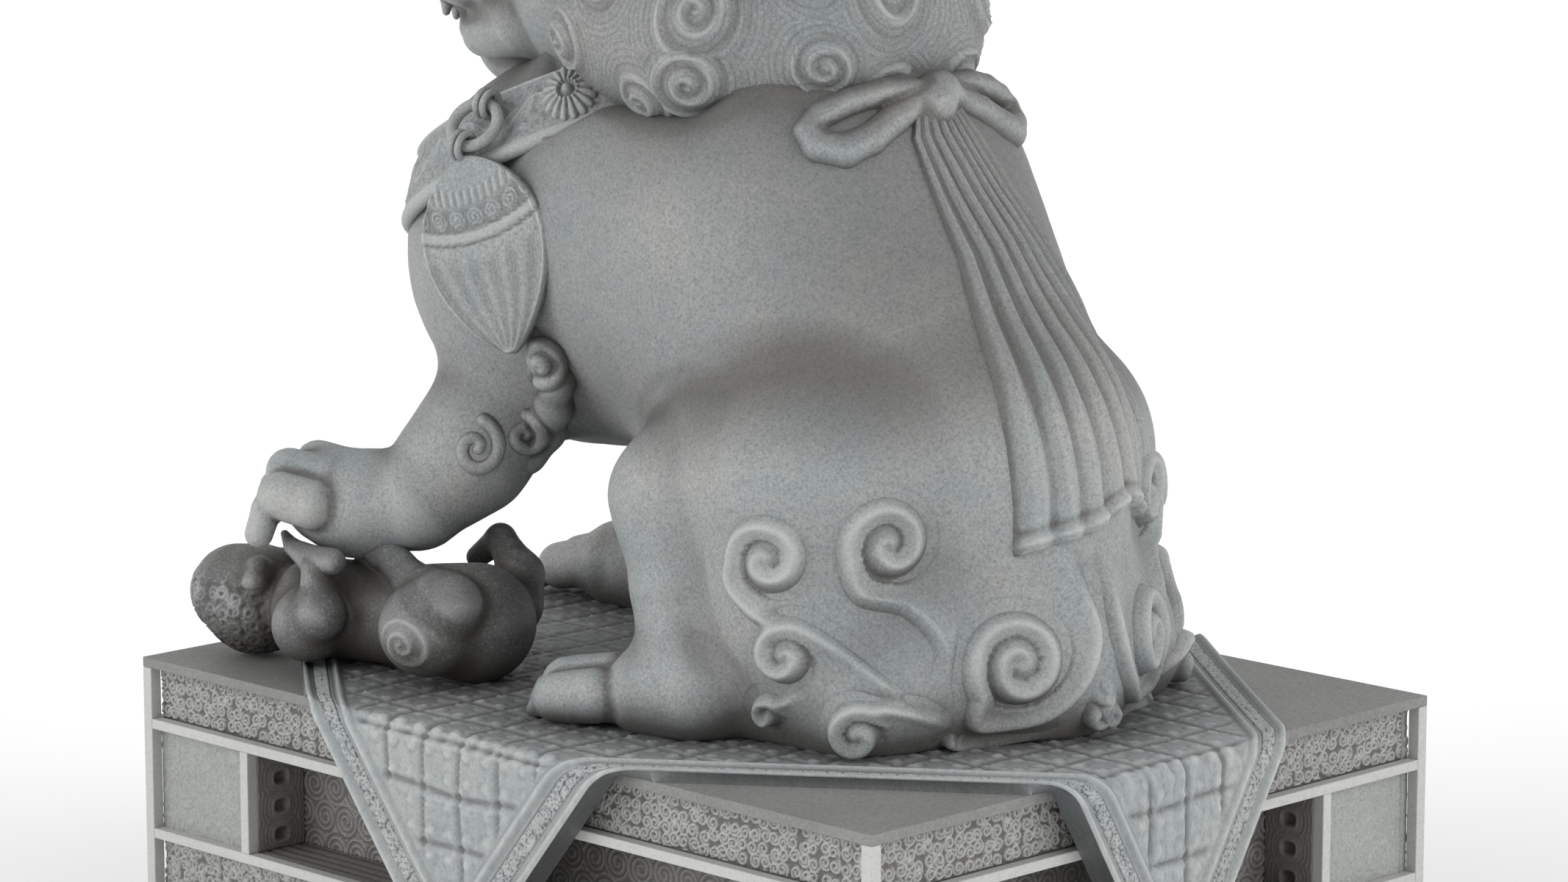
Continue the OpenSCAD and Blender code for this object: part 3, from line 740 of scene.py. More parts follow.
def blocks(name, boxes, finish, slot, stands_for):
    """One piece of several rectangular blocks with worn arrises: eight corners and six faces
    for each block, finished with a bevel."""
    signs = np.array([[x, y, z] for z in (0, 1) for y in (0, 1) for x in (0, 1)])
    sides = np.array([[0, 1, 3, 2], [4, 6, 7, 5], [0, 4, 5, 1], [2, 3, 7, 6], [0, 2, 6, 4], [1, 5, 7, 3]])
    corners = np.array([np.where(signs, high, low) for low, high in boxes])
    quads = np.vstack([sides + 8 * k for k in range(len(boxes))])
    mesh = new_mesh(name, corners.reshape(-1, 3), quads, smooth=False)
    piece = add_piece(name, mesh, finish_of(finish), slot, stands_for)
    bevel = piece.modifiers.new("arris", "BEVEL")
    bevel.width = carving().arris
    bevel.segments = 3
    bevel.limit_method = "ANGLE"
    return piece


def turned_box(name, low, high):
    """A box modelled for the +X face, turned to the named face."""
    ends = turned(name, np.array([low, high]))
    return ends.min(0), ends.max(0)


def relief_slab(name, parts, pitch, step, finish, slot, stands_for):
    """Slabs whose front face is a height over a grid: each part is a face's name, a low and a
    high corner on +X, and a function of y and z that gives height and carve."""
    points, quads, others, marks, count = [], [], [], [], 0
    for face, low, high, relief in parts:
        y = spaced(low[1], high[1], pitch, step)
        z = spaced(low[2], high[2], pitch, step)
        yy, zz = np.meshgrid(y, z, indexing="ij")
        height, carve = relief(yy, zz)
        front = np.stack([high[0] + height, yy, zz], -1)
        back = front[::step, ::step].copy()
        back[..., 0] = low[0]
        p, q, o = backed_grid(turned(face, front), turned(face, back), step)
        points.append(p)
        quads.append(q + count)
        others += [np.asarray(f) + count for f in o]
        marks.append(np.concatenate([carve.ravel(), np.zeros(back[..., 0].size)]))
        count += len(p)
    mesh = new_mesh(name, np.vstack(points), np.vstack(quads), others)
    return add_piece(name, mesh, finish_of(finish), slot, stands_for, carve=np.concatenate(marks))


def frieze_relief(seed, edge_low, edge_high, depth):
    """Dense scrolls over the slab, dying out at its plain edge."""
    def relief(y, z):
        ridge = small_curls(y, z, 15 * MM, 1.3 * MM, seed)
        inside = smooth_step(0, 2 * MM, z - edge_low) * smooth_step(0, 2 * MM, edge_high - z)
        ridge = ridge * inside
        soft = ripple(np.stack([y, z, y * 0], -1), 0.05, seed) * 0.4 * MM
        # Painted shade: the sunk ground between the scrolls is marked dark, the scrolls pale
        return (ridge - 1) * depth + soft, np.where(ridge > 0.35, ridge, -1.0 * (1 - ridge) * 0.85)
    return relief


def panel_relief(seed):
    """Softly tooled panel: wandering cloud lines, low and wide."""
    def relief(y, z):
        warp = ripple(np.stack([y, z, y * 0 + seed], -1), 0.11, seed)
        warp2 = ripple(np.stack([z, y, y * 0 + seed], -1), 0.06, seed + 2)
        line = bell(np.modf(np.abs(2.2 * warp + 1.1 * warp2 + 4))[0] - 0.5, 0.09)
        return line * 1.3 * MM, 0.28 * line - 0.1 * warp
    return relief


def niche_back_relief(seed):
    """Rows of large spirals of fine lines."""
    def relief(y, z):
        line = wave_spirals(y, z, 37 * MM, seed)
        return (line - 0.6) * 2.6 * MM, line * 1.2 - 0.72
    return relief


def cheek_relief(low):
    """Stacked bosses with hollow eyes in rounded squares of ripples."""
    def relief(y, z):
        pitch = 34 * MM
        row = (z - low) / pitch
        v = (np.mod(row, 1) - 0.5) * pitch
        r = ((np.abs(y) / 1.25) ** 3 + np.abs(v) ** 3) ** (1 / 3)
        hollow = smooth_step(8 * MM, 4.5 * MM, r)
        ring = bell(r - 10 * MM, 2 * MM)
        lines = 0.5 + 0.5 * np.cos(TURN * (r - 10 * MM) / (4.4 * MM))
        lines = lines * smooth_step(11 * MM, 13 * MM, r)
        height = -5 * MM * hollow + 2.2 * MM * ring + 1.2 * MM * lines
        return height, -1.0 * hollow + 0.5 * ring + 0.5 * lines - 0.35
    return relief


class LION_OT_pedestal(bpy.types.Operator):
    """Blocks of the pedestal: plinth, slabs, posts, rails and mullions"""
    bl_idname = "guardian_lion.pedestal"
    bl_label = "Pedestal Blocks"

    def execute(self, context):
        plinth_low, plinth_high = (np.array(c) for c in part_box("floor_plinth"))
        step_w, step_h = 10 * MM, 20 * MM
        inset = np.array([step_w, step_w, 0])
        blocks("floor_plinth", [
            (plinth_low, plinth_high - [0, 0, step_h]),
            (plinth_low + inset + [0, 0, 10 * MM], plinth_high - inset)],
            "bar_stone", "frame_stone", ["floor_plinth"])
        for name in ("foot_slab", "cap_slab"):
            low, high = (np.array(c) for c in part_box(name))
            blocks(name, [(low, high)], "shaded_cap_stone" if name == "cap_slab" else "bar_stone",
                   "frame_stone", [name])
        foot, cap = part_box("foot_frieze_left")[0].z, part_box("frieze_left")[1].z
        half_w, half_l = CAP_HIGH[0], CAP_HIGH[1]
        post = half_l - face_box("frieze_left", "left")[1][1]
        posts = []
        for sx, sy in ((-1, -1), (-1, 1), (1, -1), (1, 1)):
            ends = [(sx * half_w, sy * half_l), (sx * (half_w - post), sy * (half_l - post))]
            posts.append((np.array([*np.min(ends, 0), foot]), np.array([*np.max(ends, 0), cap])))
        blocks("corner_posts", posts, "bar_stone", "frame_stone", ["corner_posts"])
        for name in ("middle_rails", "lower_rails"):
            low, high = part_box(name)
            bars = []
            for face in FACES:
                out, reach = (half_w, half_l) if face in ("left", "right") else (half_l, half_w)
                bars.append(turned_box(face, [out - post, post - reach, low.z], [out, reach - post, high.z]))
            blocks(name, bars, "bar_stone", "frame_stone", [name])
        bars = []
        for face in FACES:
            out = half_w if face in ("left", "right") else half_l
            inner = inner_edge(f"niche_cheeks_{face}", face)
            low, high = face_box(f"niche_cheeks_{face}", face)
            for side in (-1, 1):
                ends = sorted((side * inner, side * high[1]))
                bars.append(turned_box(face, [out - post, ends[0], low[2]], [out, ends[1], high[2]]))
        blocks("mullions", bars, "bar_stone", "frame_stone", ["mullions"])
        frame["nodes"]["core_block"].data.materials.clear()
        frame["nodes"]["core_block"].data.materials.append(finish_of("niche_stone"))
        return {"FINISHED"}


class LION_OT_reliefs(bpy.types.Operator):
    """Carved friezes, side panels and niches of the pedestal"""
    bl_idname = "guardian_lion.reliefs"
    bl_label = "Friezes, Panels and Niches"

    def execute(self, context):
        depth = carving().frieze_depth
        for seed, face in enumerate(FACES):
            low, high = face_box(f"frieze_{face}", face)
            rail = face_box("middle_rails", face)[1][2]
            relief_slab(f"frieze_{face}", [(face, low, high, frieze_relief(seed, rail, high[2], depth))],
                        1.45 * MM, 8, "frieze_stone", "frieze_stone", [f"frieze_{face}"])
            low, high = face_box(f"foot_frieze_{face}", face)
            relief_slab(f"foot_frieze_{face}",
                        [(face, low, high, frieze_relief(seed + 9, low[2], high[2], depth))],
                        2.5 * MM, 8, "frieze_stone", "frieze_stone", [f"foot_frieze_{face}"])
            low, high = face_box(f"panels_{face}", face)
            inner = face_box(f"niche_back_{face}", face)[1][1]
            parts = [(face, np.array([low[0], low[1], low[2]]), np.array([high[0], -inner, high[2]]),
                      panel_relief(seed)),
                     (face, np.array([low[0], inner, low[2]]), high, panel_relief(seed + 5))]
            relief_slab(f"panels_{face}", parts, 2.6 * MM, 4, "panel_stone", "panel_stone",
                        [f"panels_{face}"])
            low, high = face_box(f"niche_back_{face}", face)
            relief_slab(f"niche_back_{face}", [(face, low, high, niche_back_relief(seed))],
                        1.9 * MM, 8, "niche_stone", "niche_stone", [f"niche_back_{face}"])
            self.cheeks(face)
        self.floors()
        return {"FINISHED"}

    def cheeks(self, face):
        """Slabs on the two sides of a niche, carved on their inner faces."""
        low, high = face_box(f"niche_cheeks_{face}", face)
        inner = inner_edge(f"niche_cheeks_{face}", face)
        middle = (low[0] + high[0]) / 2
        points, quads, others, marks, count, step = [], [], [], [], 0, 4
        relief = cheek_relief(low[2])
        for side in (-1, 1):
            x = spaced(low[0], high[0], 2 * MM, step)
            z = spaced(low[2], high[2], 2 * MM, step)
            xx, zz = np.meshgrid(x, z, indexing="ij")
            height, carve = relief(xx - middle, zz)
            front = np.stack([xx, side * (inner - height), zz], -1)
            back = front[::step, ::step].copy()
            back[..., 1] = side * high[1]
            p, q, o = backed_grid(turned(face, front), turned(face, back), step)
            if side < 0:
                q, o = q[:, ::-1], [np.asarray(f)[::-1] for f in o]
            points.append(p)
            quads.append(q + count)
            others += [np.asarray(f) + count for f in o]
            marks.append(np.concatenate([carve.ravel(), np.zeros(back[..., 0].size)]))
            count += len(p)
        mesh = new_mesh(f"niche_cheeks_{face}", np.vstack(points), np.vstack(quads), others)
        add_piece(f"niche_cheeks_{face}", mesh, finish_of("niche_stone"), "niche_stone",
                  [f"niche_cheeks_{face}"], carve=np.concatenate(marks))

    def floors(self):
        """Niche floors, grooved like planks across the niche."""
        points, quads, others, marks, count, step = [], [], [], [], 0, 4
        for face in FACES:
            back_low, back_high = face_box(f"niche_back_{face}", face)
            low, high = face_box("niche_floors", face)
            cheek_high = face_box(f"niche_cheeks_{face}", face)[1]
            x = spaced(back_low[0], cheek_high[0], 2.5 * MM, step)
            y = spaced(back_low[1], back_high[1], 3.5 * MM, step)
            xx, yy = np.meshgrid(x, y, indexing="ij")
            wander = ripple(np.stack([xx, yy, xx * 0], -1), 0.2)
            plank = np.modf(np.abs(xx / (16 * MM) + 0.12 * wander))[0]
            groove = bell(plank - 0.5, 0.12)
            streak = 0.5 + 0.5 * np.sin(TURN * xx / (5.2 * MM) + 3 * wander)
            top = np.stack([xx, yy, high[2] - 1.6 * MM * groove - 0.5 * MM * streak], -1)
            back = top[::step, ::step].copy()
            back[..., 2] = low[2]
            p, q, o = backed_grid(turned(face, top), turned(face, back), step)
            points.append(p)
            quads.append(q + count)
            others += [np.asarray(f) + count for f in o]
            mark = -0.9 * groove - 0.35 * streak
            marks.append(np.concatenate([mark.ravel(), np.zeros(back[..., 0].size)]))
            count += len(p)
        mesh = new_mesh("niche_floors", np.vstack(points), np.vstack(quads), others)
        add_piece("niche_floors", mesh, finish_of("niche_stone"), "niche_stone", ["niche_floors"],
                  carve=np.concatenate(marks))


# ---- cloth ----

class ClothShape:
    """A diamond laid over the cap. With p and q from -1 to 1 and p + q within 1, x grows evenly
    with p and y with q, both a little bent so that the middle is off centre. Past the fold the
    surface turns down round a quarter circle and hangs straight."""

    def __init__(self):
        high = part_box("cloth_top")[1]
        self.top = high.z
        self.x, self.y = high.x, high.y
        left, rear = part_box("flap_left"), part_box("flap_rear")
        self.dy = (left[0].y + left[1].y) / 2
        self.dx = (rear[0].x + rear[1].x) / 2
        self.drop = self.top - left[0].z
        half_left, half_rear = (left[1].y - left[0].y) / 2, (rear[1].x - rear[0].x) / 2
        s, t = half_left / self.y, half_rear / self.x
        self.fold_q = (1 - t) / (1 - s * t)
        self.fold_p = 1 - s * self.fold_q
        self.bend = 22 * MM

    def lay(self, p, q):
        """Places in the frame for p and q, and how far past each fold they are."""
        xs, ys = p / self.fold_p, q / self.fold_q
        x = self.x * xs + self.dx * (1 - np.clip(xs, -1, 1) ** 2)
        y = self.y * ys + self.dy * (1 - np.clip(ys, -1, 1) ** 2)
        past_x = np.where(np.abs(p) < self.fold_p, np.abs(x) - self.x,
                          self.drop * (np.abs(p) - self.fold_p) / (1 - self.fold_p))
        past_y = np.where(np.abs(q) < self.fold_q, np.abs(y) - self.y,
                          self.drop * (np.abs(q) - self.fold_q) / (1 - self.fold_q))
        out_x, down_x = self.turn_down(past_x)
        out_y, down_y = self.turn_down(past_y)
        z = self.top - down_x - down_y
        at = np.stack([np.sign(x) * (self.x + out_x), np.sign(y) * (self.y + out_y), z], -1)
        return at, x, y, past_x, past_y

    def turn_down(self, past):
        """Offset and drop of a point some way past a fold: flat, a quarter circle, then down."""
        angle = np.clip((past + self.bend) / (2 * self.bend), 0, 1) * np.pi / 2
        out = np.where(past < -self.bend, past, -self.bend + self.bend * np.sin(angle))
        down = np.where(past > self.bend, past, self.bend - self.bend * np.cos(angle))
        return out, down


# Width of the cloth's border, with the half width of the whole cloth as 1
BORDER = 0.084


def border_profile(m):
    """Height of the border across its width, m from 0 at the cloth's edge: an outer roll, a
    margin, a sunk strip for the scrolls, a margin and an inner roll."""
    roll = 4.4 * MM * (bell(m - 0.0075, 0.0062) + bell(m - 0.0755, 0.0062))
    sunk = smooth_step(0.023, 0.026, m) * smooth_step(0.058, 0.055, m)
    grooves = 1.5 * MM * (bell(m - 0.0175, 0.0032) + bell(m - 0.0655, 0.0032))
    outside = smooth_step(BORDER + 0.006, BORDER - 0.002, m)
    return roll + (1.2 * MM - 3.4 * MM * sunk - grooves) * outside


def quilt(x, y):
    """Height of the quilting: square cells between soft creases, two flowers to a cell side,
    each five petals round a dot."""
    wander = 3 * MM * np.sin(x * 31) * np.cos(y * 27)
    cell = 62 * MM
    fx = np.abs(np.modf(np.abs((x + wander) / cell + 20.5))[0] - 0.5) * cell
    fy = np.abs(np.modf(np.abs((y - wander) / cell + 20.5))[0] - 0.5) * cell
    crease = bell(fx, 4.0 * MM) + bell(fy, 4.0 * MM)
    swell = (np.sin(np.clip(fx / cell * 2, 0, 1) * np.pi / 2)
             * np.sin(np.clip(fy / cell * 2, 0, 1) * np.pi / 2))
    lip = bell(fx - 8 * MM, 3.5 * MM) + bell(fy - 8 * MM, 3.5 * MM)
    small = cell / 2
    gx = (np.modf(np.abs(x / small + 40))[0] - 0.5) * small
    gy = (np.modf(np.abs(y / small + 40))[0] - 0.5) * small
    r, a = np.hypot(gx, gy), np.arctan2(gy, gx)
    petals = bell(r - 4.8 * MM, 2.8 * MM) * (0.55 + 0.45 * np.cos(5 * a))
    flower = petals + 0.9 * bell(r, 2.4 * MM) - 0.5 * bell(r - 9.2 * MM, 2.0 * MM)
    rise = -3.2 * MM * crease + 2.4 * MM * swell + 1.2 * MM * lip + 3.4 * MM * flower
    return rise, -0.95 * crease + 0.45 * lip + 0.8 * np.clip(flower, -1, 1)


class LION_OT_cloth(bpy.types.Operator):
    """Stone cloth with its rolled border and quilted field, and the scrolls in its border"""
    bl_idname = "guardian_lion.cloth"
    bl_label = "Stone Cloth"

    def execute(self, context):
        shape = ClothShape()
        edge = np.linspace(0, BORDER + 0.012, 25)
        lines = np.concatenate([edge, np.linspace(edge[-1], 2 - edge[-1], 254)[1:-1], 2 - edge[::-1]]) - 1
        a, b = np.meshgrid(lines, lines, indexing="ij")
        p, q = (a + b) / 2, (a - b) / 2
        at, x, y, past_x, past_y = shape.lay(p, q)
        normal = grid_normals(at)
        if normal[len(lines) // 2, len(lines) // 2, 2] < 0:
            normal = -normal
        m = 1 - np.maximum(np.abs(a), np.abs(b))
        along_x = np.where(np.abs(past_x) < np.abs(past_y), np.sign(x) * (shape.x + past_x), x)
        along_y = np.where(np.abs(past_y) < np.abs(past_x), np.sign(y) * (shape.y + past_y), y)
        rise, carve = quilt(along_x, along_y)
        inner = smooth_step(BORDER + 0.002, BORDER + 0.02, m)
        near = np.minimum(np.abs(past_x), np.abs(past_y))
        along = np.where(np.abs(past_x) < np.abs(past_y), y, x)
        ripples = np.sin(along * TURN / (31 * MM) + 2 * np.sin(along * 23)) * bell(near - 4 * MM, 15 * MM)
        on_flap = smooth_step(-10 * MM, 10 * MM, np.maximum(past_x, past_y))
        height = border_profile(m) + inner * (-1.2 * MM + rise * (0.6 + 0.4 * on_flap) + 1.5 * MM * ripples)
        strip = smooth_step(0.022, 0.026, m) * smooth_step(0.059, 0.055, m)
        rolls = bell(m - 0.0075, 0.006) + bell(m - 0.0755, 0.006)
        grooves = bell(m - 0.0175, 0.0036) + bell(m - 0.0655, 0.0036) + bell(m - BORDER - 0.002, 0.003)
        carve = inner * (carve * (0.65 + 0.35 * on_flap) + 0.35 * ripples)
        carve = carve + 0.75 * rolls - 0.55 * grooves - 0.9 * strip
        # Painted shade: the whole top of the cloth is marked darker, and darker still near the lion and the
        # cub
        on_top = np.abs(at[..., 2] - shape.top) < 3 * MM
        probe = (at - [0, 0, SEAT]) / UNIT + [0, 0, 14]
        by_cub = probe + [0, 0, (SEAT - CAP_HIGH[2]) / UNIT]
        room = np.minimum(field(lion_forms(), probe), field(cub_forms(), by_cub))
        carve = carve - np.where(on_top, 0.25 + 0.75 * np.clip(1 - room / 130, 0, 1) ** 1.5, 0)
        outer = at + normal * height[..., None]
        n = len(lines)
        ring = np.concatenate([np.arange(n) * n, (n - 1) * n + np.arange(1, n),
                               (n - 1 - np.arange(1, n)) * n + n - 1, np.arange(n - 2, 0, -1)])
        rim = outer.reshape(-1, 3)[ring]
        face = CAP_HIGH[0], CAP_HIGH[1]
        base = np.stack([np.clip(rim[:, 0], -face[0], face[0]), np.clip(rim[:, 1], -face[1], face[1]),
                         np.minimum(rim[:, 2], CAP_HIGH[2])], -1)
        side = np.where(np.abs(base[:, 0]) > face[0] - 1e-6, np.where(base[:, 0] > 0, 1, 3),
                        np.where(np.abs(base[:, 1]) > face[1] - 1e-6, np.where(base[:, 1] > 0, 2, 4), 0))
        points = np.vstack([outer.reshape(-1, 3), base])
        low_ring = np.arange(len(ring)) + n * n
        walls = np.stack([ring, np.roll(ring, -1), np.roll(low_ring, -1), low_ring], -1)
        start = int(np.flatnonzero(side == 0)[0])
        order, labels = np.roll(low_ring, -start), np.roll(side, -start)
        backs, keep = [], labels == 0
        for label in (1, 2, 3, 4):
            run = np.flatnonzero(labels == label)
            backs.append(order[run][::-1])
            keep[run[[0, -1]]] = True
        backs.append(order[keep][::-1])
        quads = np.vstack([grid_quads(n, n), walls])
        mesh = new_mesh("cloth", points, quads, [f[::-1] for f in backs])
        marks = np.concatenate([carve.ravel(), np.zeros(len(base))])
        add_piece("cloth", mesh, finish_of("cloth_stone"), "cloth_stone",
                  ["cloth_top", "flap_front", "flap_rear", "flap_left", "flap_right"], carve=marks)
        for k in range(4):
            self.scrolls(shape, k)
        return {"FINISHED"}

    def scrolls(self, shape, k):
        """Strip of small scrolls along one edge of the cloth, let into its border."""
        step = 8
        m = np.linspace(0.0245, 0.0565, 17)
        t = spaced(-0.94, 0.94, 0.0028, step)
        along, across = np.meshgrid(t, 1 - m, indexing="ij")
        a, b = ((across, along), (along, across), (-across, along), (along, -across))[k]
        at, *_ = shape.lay((a + b) / 2, (a - b) / 2)
        normal = grid_normals(at)
        if normal[len(t) // 2, 8, 2] < 0:
            normal = -normal
        run = np.cumsum(np.linalg.norm(np.diff(at[:, 8], axis=0, prepend=at[:1, 8]), axis=-1))
        ridge = small_curls(run[:, None] + 0 * along, (m * 560 * MM)[None] + 0 * along,
                            8.2 * MM, 0.95 * MM, 30 + k)
        ends = (smooth_step(0, 0.08, (m - m[0]) / (m[-1] - m[0]))
                * smooth_step(0, 0.08, (m[-1] - m) / (m[-1] - m[0])))
        front = at + normal * ((-0.7 + 2.4 * ridge * ends[None] - 2.2 * (1 - ends[None])) * MM)[..., None]
        back = (at - normal * 6 * MM)[::step, ::step]
        points, quads, others = backed_grid(front, back, step)
        mesh = new_mesh(f"cloth_scrolls_{k + 1}", points, quads, others)
        carve = np.concatenate([np.where(ridge > 0.4, ridge * 0.7, -1.0).ravel(),
                                np.zeros(back[..., 0].size)])
        add_piece(f"cloth_scrolls_{k + 1}", mesh, finish_of("cloth_stone"), "cloth_stone", carve=carve)


# ---- lion ----

def placed(points):
    """Points in thousandths of the lion's height over its seat, put in the frame."""
    return points * UNIT + np.array([0, 0, SEAT])


def hand_worked(points, unevenness):
    """How far each point stands off the true form: long and short waves of the carver's hand."""
    return unevenness * (ripple(points, 95.0, 1.0) + 0.35 * ripple(points, 37.0, 4.0))


def shadowed(forms, points, normal, ground=None):
    """How shut in each point is, from 0 in the open: at three distances off the surface, how
    much nearer the stone is than that distance."""
    total = np.zeros(points.shape[:-1])
    for off, share in ((12.0, 0.30), (36.0, 0.35), (95.0, 0.40)):
        probe = points + normal * off
        room = field(forms, probe)
        if ground is not None:
            room = np.minimum(room, probe[..., 2] - ground)
        total += share * np.clip(1.02 - room / off, 0, 1.3)
    return total


def ridges_and_painted_shade(forms, points, normal, bend, ground=None):
    """Carve mark of a sculpted surface: pale where it bulges, painted shade in creases and shut places, and
    on higher, upward-facing parts.
    """
    crease = np.clip((bend - 0.013) * 12, -0.6, 0.4)
    high = smooth_step(210, 340, points[..., 2])
    # Painted shade on the higher and upward-facing parts
    painted_top_shade = (0.25 + 0.4 * high) * smooth_step(0.0, 0.6, normal[..., 2]) + 0.16 * high
    # Painted shade in shut-in places, from how near the stone lies off the surface
    return np.clip(crease + 0.12 - painted_top_shade - 1.3 * shadowed(forms, points, normal, ground), -1, 1)


def sculpted(name, forms, cell, finish, slot, stands_for, floor=None, unevenness=0.8, base=0.0,
             around=(), relief=None, fit=None):
    """A piece that is the skin of a set of forms, with a little hand-worked unevenness. Its
    carve mark is the curvature with painted shade: pale where it bulges, painted shade where it creases, in
    shut places and on upper faces."""
    points, quads = skin(forms, cell / UNIT, floor)
    _, normal, bend = slopes(forms, points, 9.0, floor)
    lift = hand_worked(points, unevenness)
    carve = ridges_and_painted_shade(list(forms) + list(around), points, normal, bend, floor)
    if relief is not None:
        rise, mark = relief(points)
        lift, carve = lift + rise, np.clip(carve + mark, -1, 1)
    if floor is not None:
        lift = lift * smooth_step(floor, floor + 6, points[:, 2])
    points = points + normal * lift[:, None]
    if fit is not None:
        points = fit(points)
    mesh = new_mesh(name, placed(points) + [0, 0, base], quads)
    return add_piece(name, mesh, finish_of(finish), slot, stands_for, carve=carve)


class LION_OT_lion_body(bpy.types.Operator):
    """The lion's body, legs and paws, carved from one block"""
    bl_idname = "guardian_lion.lion_body"
    bl_label = "Lion Body"

    def execute(self, context):
        sculpted("lion_body", lion_forms(), carving().body_cell, "lion_stone", "lion_stone",
                 ["lion_body"], floor=-1.5, around=mane_forms(), fit=shouldered)
        return {"FINISHED"}


def shouldered(points):
    """Shoulders lowered to the foot of the collar and to the rim of the mane: outside the
    collar's cone each height is softly held below the collar's base plane and the rim."""
    shape = CollarShape()
    tilt, unit = shape.tilt, UNIT
    y, z = points[:, 1] - shape.back / unit, points[:, 2] - (shape.up - SEAT) / unit
    h = z * np.cos(tilt) - y * np.sin(tilt)
    r = np.hypot(points[:, 0], y * np.cos(tilt) + z * np.sin(tilt))
    cone = (shape.low_r + (shape.top_r - shape.low_r) * np.clip(h * unit / shape.tall, -0.5, 1.4)) / unit
    outside = smooth_step(-6, 16, r - cone) * smooth_step(110, 60, points[:, 1])
    soft = 16.0
    over = soft * np.log1p(np.exp((h + 4) / soft))
    high = 14.0 * np.log1p(np.exp((points[:, 2] - 556) / 14.0))
    inside = smooth_step(10, -4, r - cone) * smooth_step(-14, -4, h)
    points = points - np.stack([0 * h, -np.sin(tilt) * over, np.cos(tilt) * over], -1) * outside[:, None]
    points[:, 2] -= np.clip(high - np.cos(tilt) * over, 0, None) * outside
    tuck = inside * np.clip(r - (cone - 16), 0, 40) / np.maximum(r, 1)
    points[:, 0] *= 1 - tuck
    points[:, 1] -= tuck * (points[:, 1] - shape.back / unit)
    return points


def on_skin(forms, axis, angle, height, floor=None):
    """Points of the skin at angles in degrees about a vertical axis, and at heights."""
    t = np.radians(np.asarray(angle, float))
    ray = np.stack([np.cos(t), np.sin(t), 0 * t], -1)
    base = np.stack([axis[0] + 0 * t, axis[1] + 0 * t, np.asarray(height, float) + 0 * t], -1)
    r = np.full(t.shape, 560.0)
    for _ in range(70):
        r = r - np.clip(field(forms, base + ray * r[..., None], floor), -30, 60) * 0.8
    return base + ray * r[..., None]


def settled(forms, points, floor=None):
    """Points drawn onto the skin by Newton steps."""
    for _ in range(3):
        value, normal, _ = slopes(forms, points, 6.0, floor)
        points = points - normal * np.clip(value, -20, 20)[..., None]
    return points


def laid_coil(forms, axis, spot, radius, turns, start, hand, tail=(), floor=None):
    """Path of a volute on the skin: a flat coil in the plane that touches the skin at its
    middle, led in by a tail through points at angles and heights, all drawn onto the skin."""
    middle = on_skin(forms, axis, [spot[0]], [spot[1]], floor)
    normal = slopes(forms, middle, 14.0, floor)[1][0]
    side = unit_vectors(np.cross([0.0, 0.0, 1.0], normal))
    up = np.cross(normal, side)
    flat = coil((0, 0), radius, turns, start, hand)
    path = middle + flat[:, :1] * side + flat[:, 1:] * up
    if len(tail):
        knots = on_skin(forms, axis, [a for a, _ in tail], [z for _, z in tail], floor)
        path = np.vstack([through(np.vstack([knots, path[0], path[6]]))[:-12], path])
    return settled(forms, path, floor)


def ridge_on(points, normal, path, width, hand, fade=0.12):
    """Crest and groove of a fillet along a path on a surface, and nearness to it. The crest is
    steep with a groove on its outer side and falls softly on its inner side."""
    flat, out = points.reshape(-1, 3), normal.reshape(-1, 3)
    best, index = np.full(len(flat), 1e9), np.zeros(len(flat), int)
    low, high = path.min(0) - 5 * width, path.max(0) + 5 * width
    near = np.flatnonzero(((flat > low) & (flat < high)).all(1))
    for part in np.array_split(near, max(1, len(near) * len(path) // 3000000 + 1)):
        if len(part):
            d2 = ((flat[part][:, None, :] - path[None]) ** 2).sum(-1)
            index[part] = d2.argmin(1)
            best[part] = np.sqrt(d2.min(1))
    heading = np.gradient(path, axis=0)[index]
    cross = (out * np.cross(heading, flat - path[index])).sum(-1)
    x = best / width
    outer = smooth_step(-0.15, 0.15, -hand * cross / (np.linalg.norm(heading, axis=-1) * width))
    crest = outer * bell(x, 0.5) + (1 - outer) * (0.6 * bell(x, 0.55) + 0.4 * bell(x, 1.5))
    groove = outer * bell(x - 1.15, 0.5)
    share = index / (len(path) - 1)
    strength = smooth_step(0, fade, share) * (0.6 + 0.4 * smooth_step(1, 0.7, share))
    near = bell(x, 2.6)
    return [(part * strength).reshape(points.shape[:-1]) for part in (crest, groove)] + [
        near.reshape(points.shape[:-1])]


# Vertical axis the haunch's scrolls are laid about
HAUNCH = (80, 200)


def haunch_scrolls():
    """Volutes of the haunch: middle at an angle and a height about the haunch's axis, radius,
    turns, where the coil starts, its hand, and its tail's points."""
    return (
        ((16, 178), 38, 1.3, 185, -1, ((32, 104), (18, 117), (8, 138), (4, 156)), 11.5),
        ((52, 190), 41, 1.3, 190, -1, ((69, 62), (67, 104), (58, 132), (42, 146)), 11.5),
        ((21, 91), 30, 1.15, 60, 1, ((62, 28), (47, 73), (34, 101)), 10.5),
        ((14, 35), 17, 0.9, 40, 1, ((27, 56),), 8),
        ((42, 24), 27, 1.15, 60, 1, ((72, 22), (60, 38), (51, 46)), 10),
        ((88, 79), 47, 1.7, 215, -1,
         ((103, 186), (106, 140), (106, 96), (102, 54), (94, 26), (79, 24)), 12.5),
        ((112, 26), 16, 0.9, 120, 1, ((106, 62),), 8),
        ((72, 10), 4, 0.3, 180, -1, ((102, 8), (90, 3), (80, 3)), 8),
    )


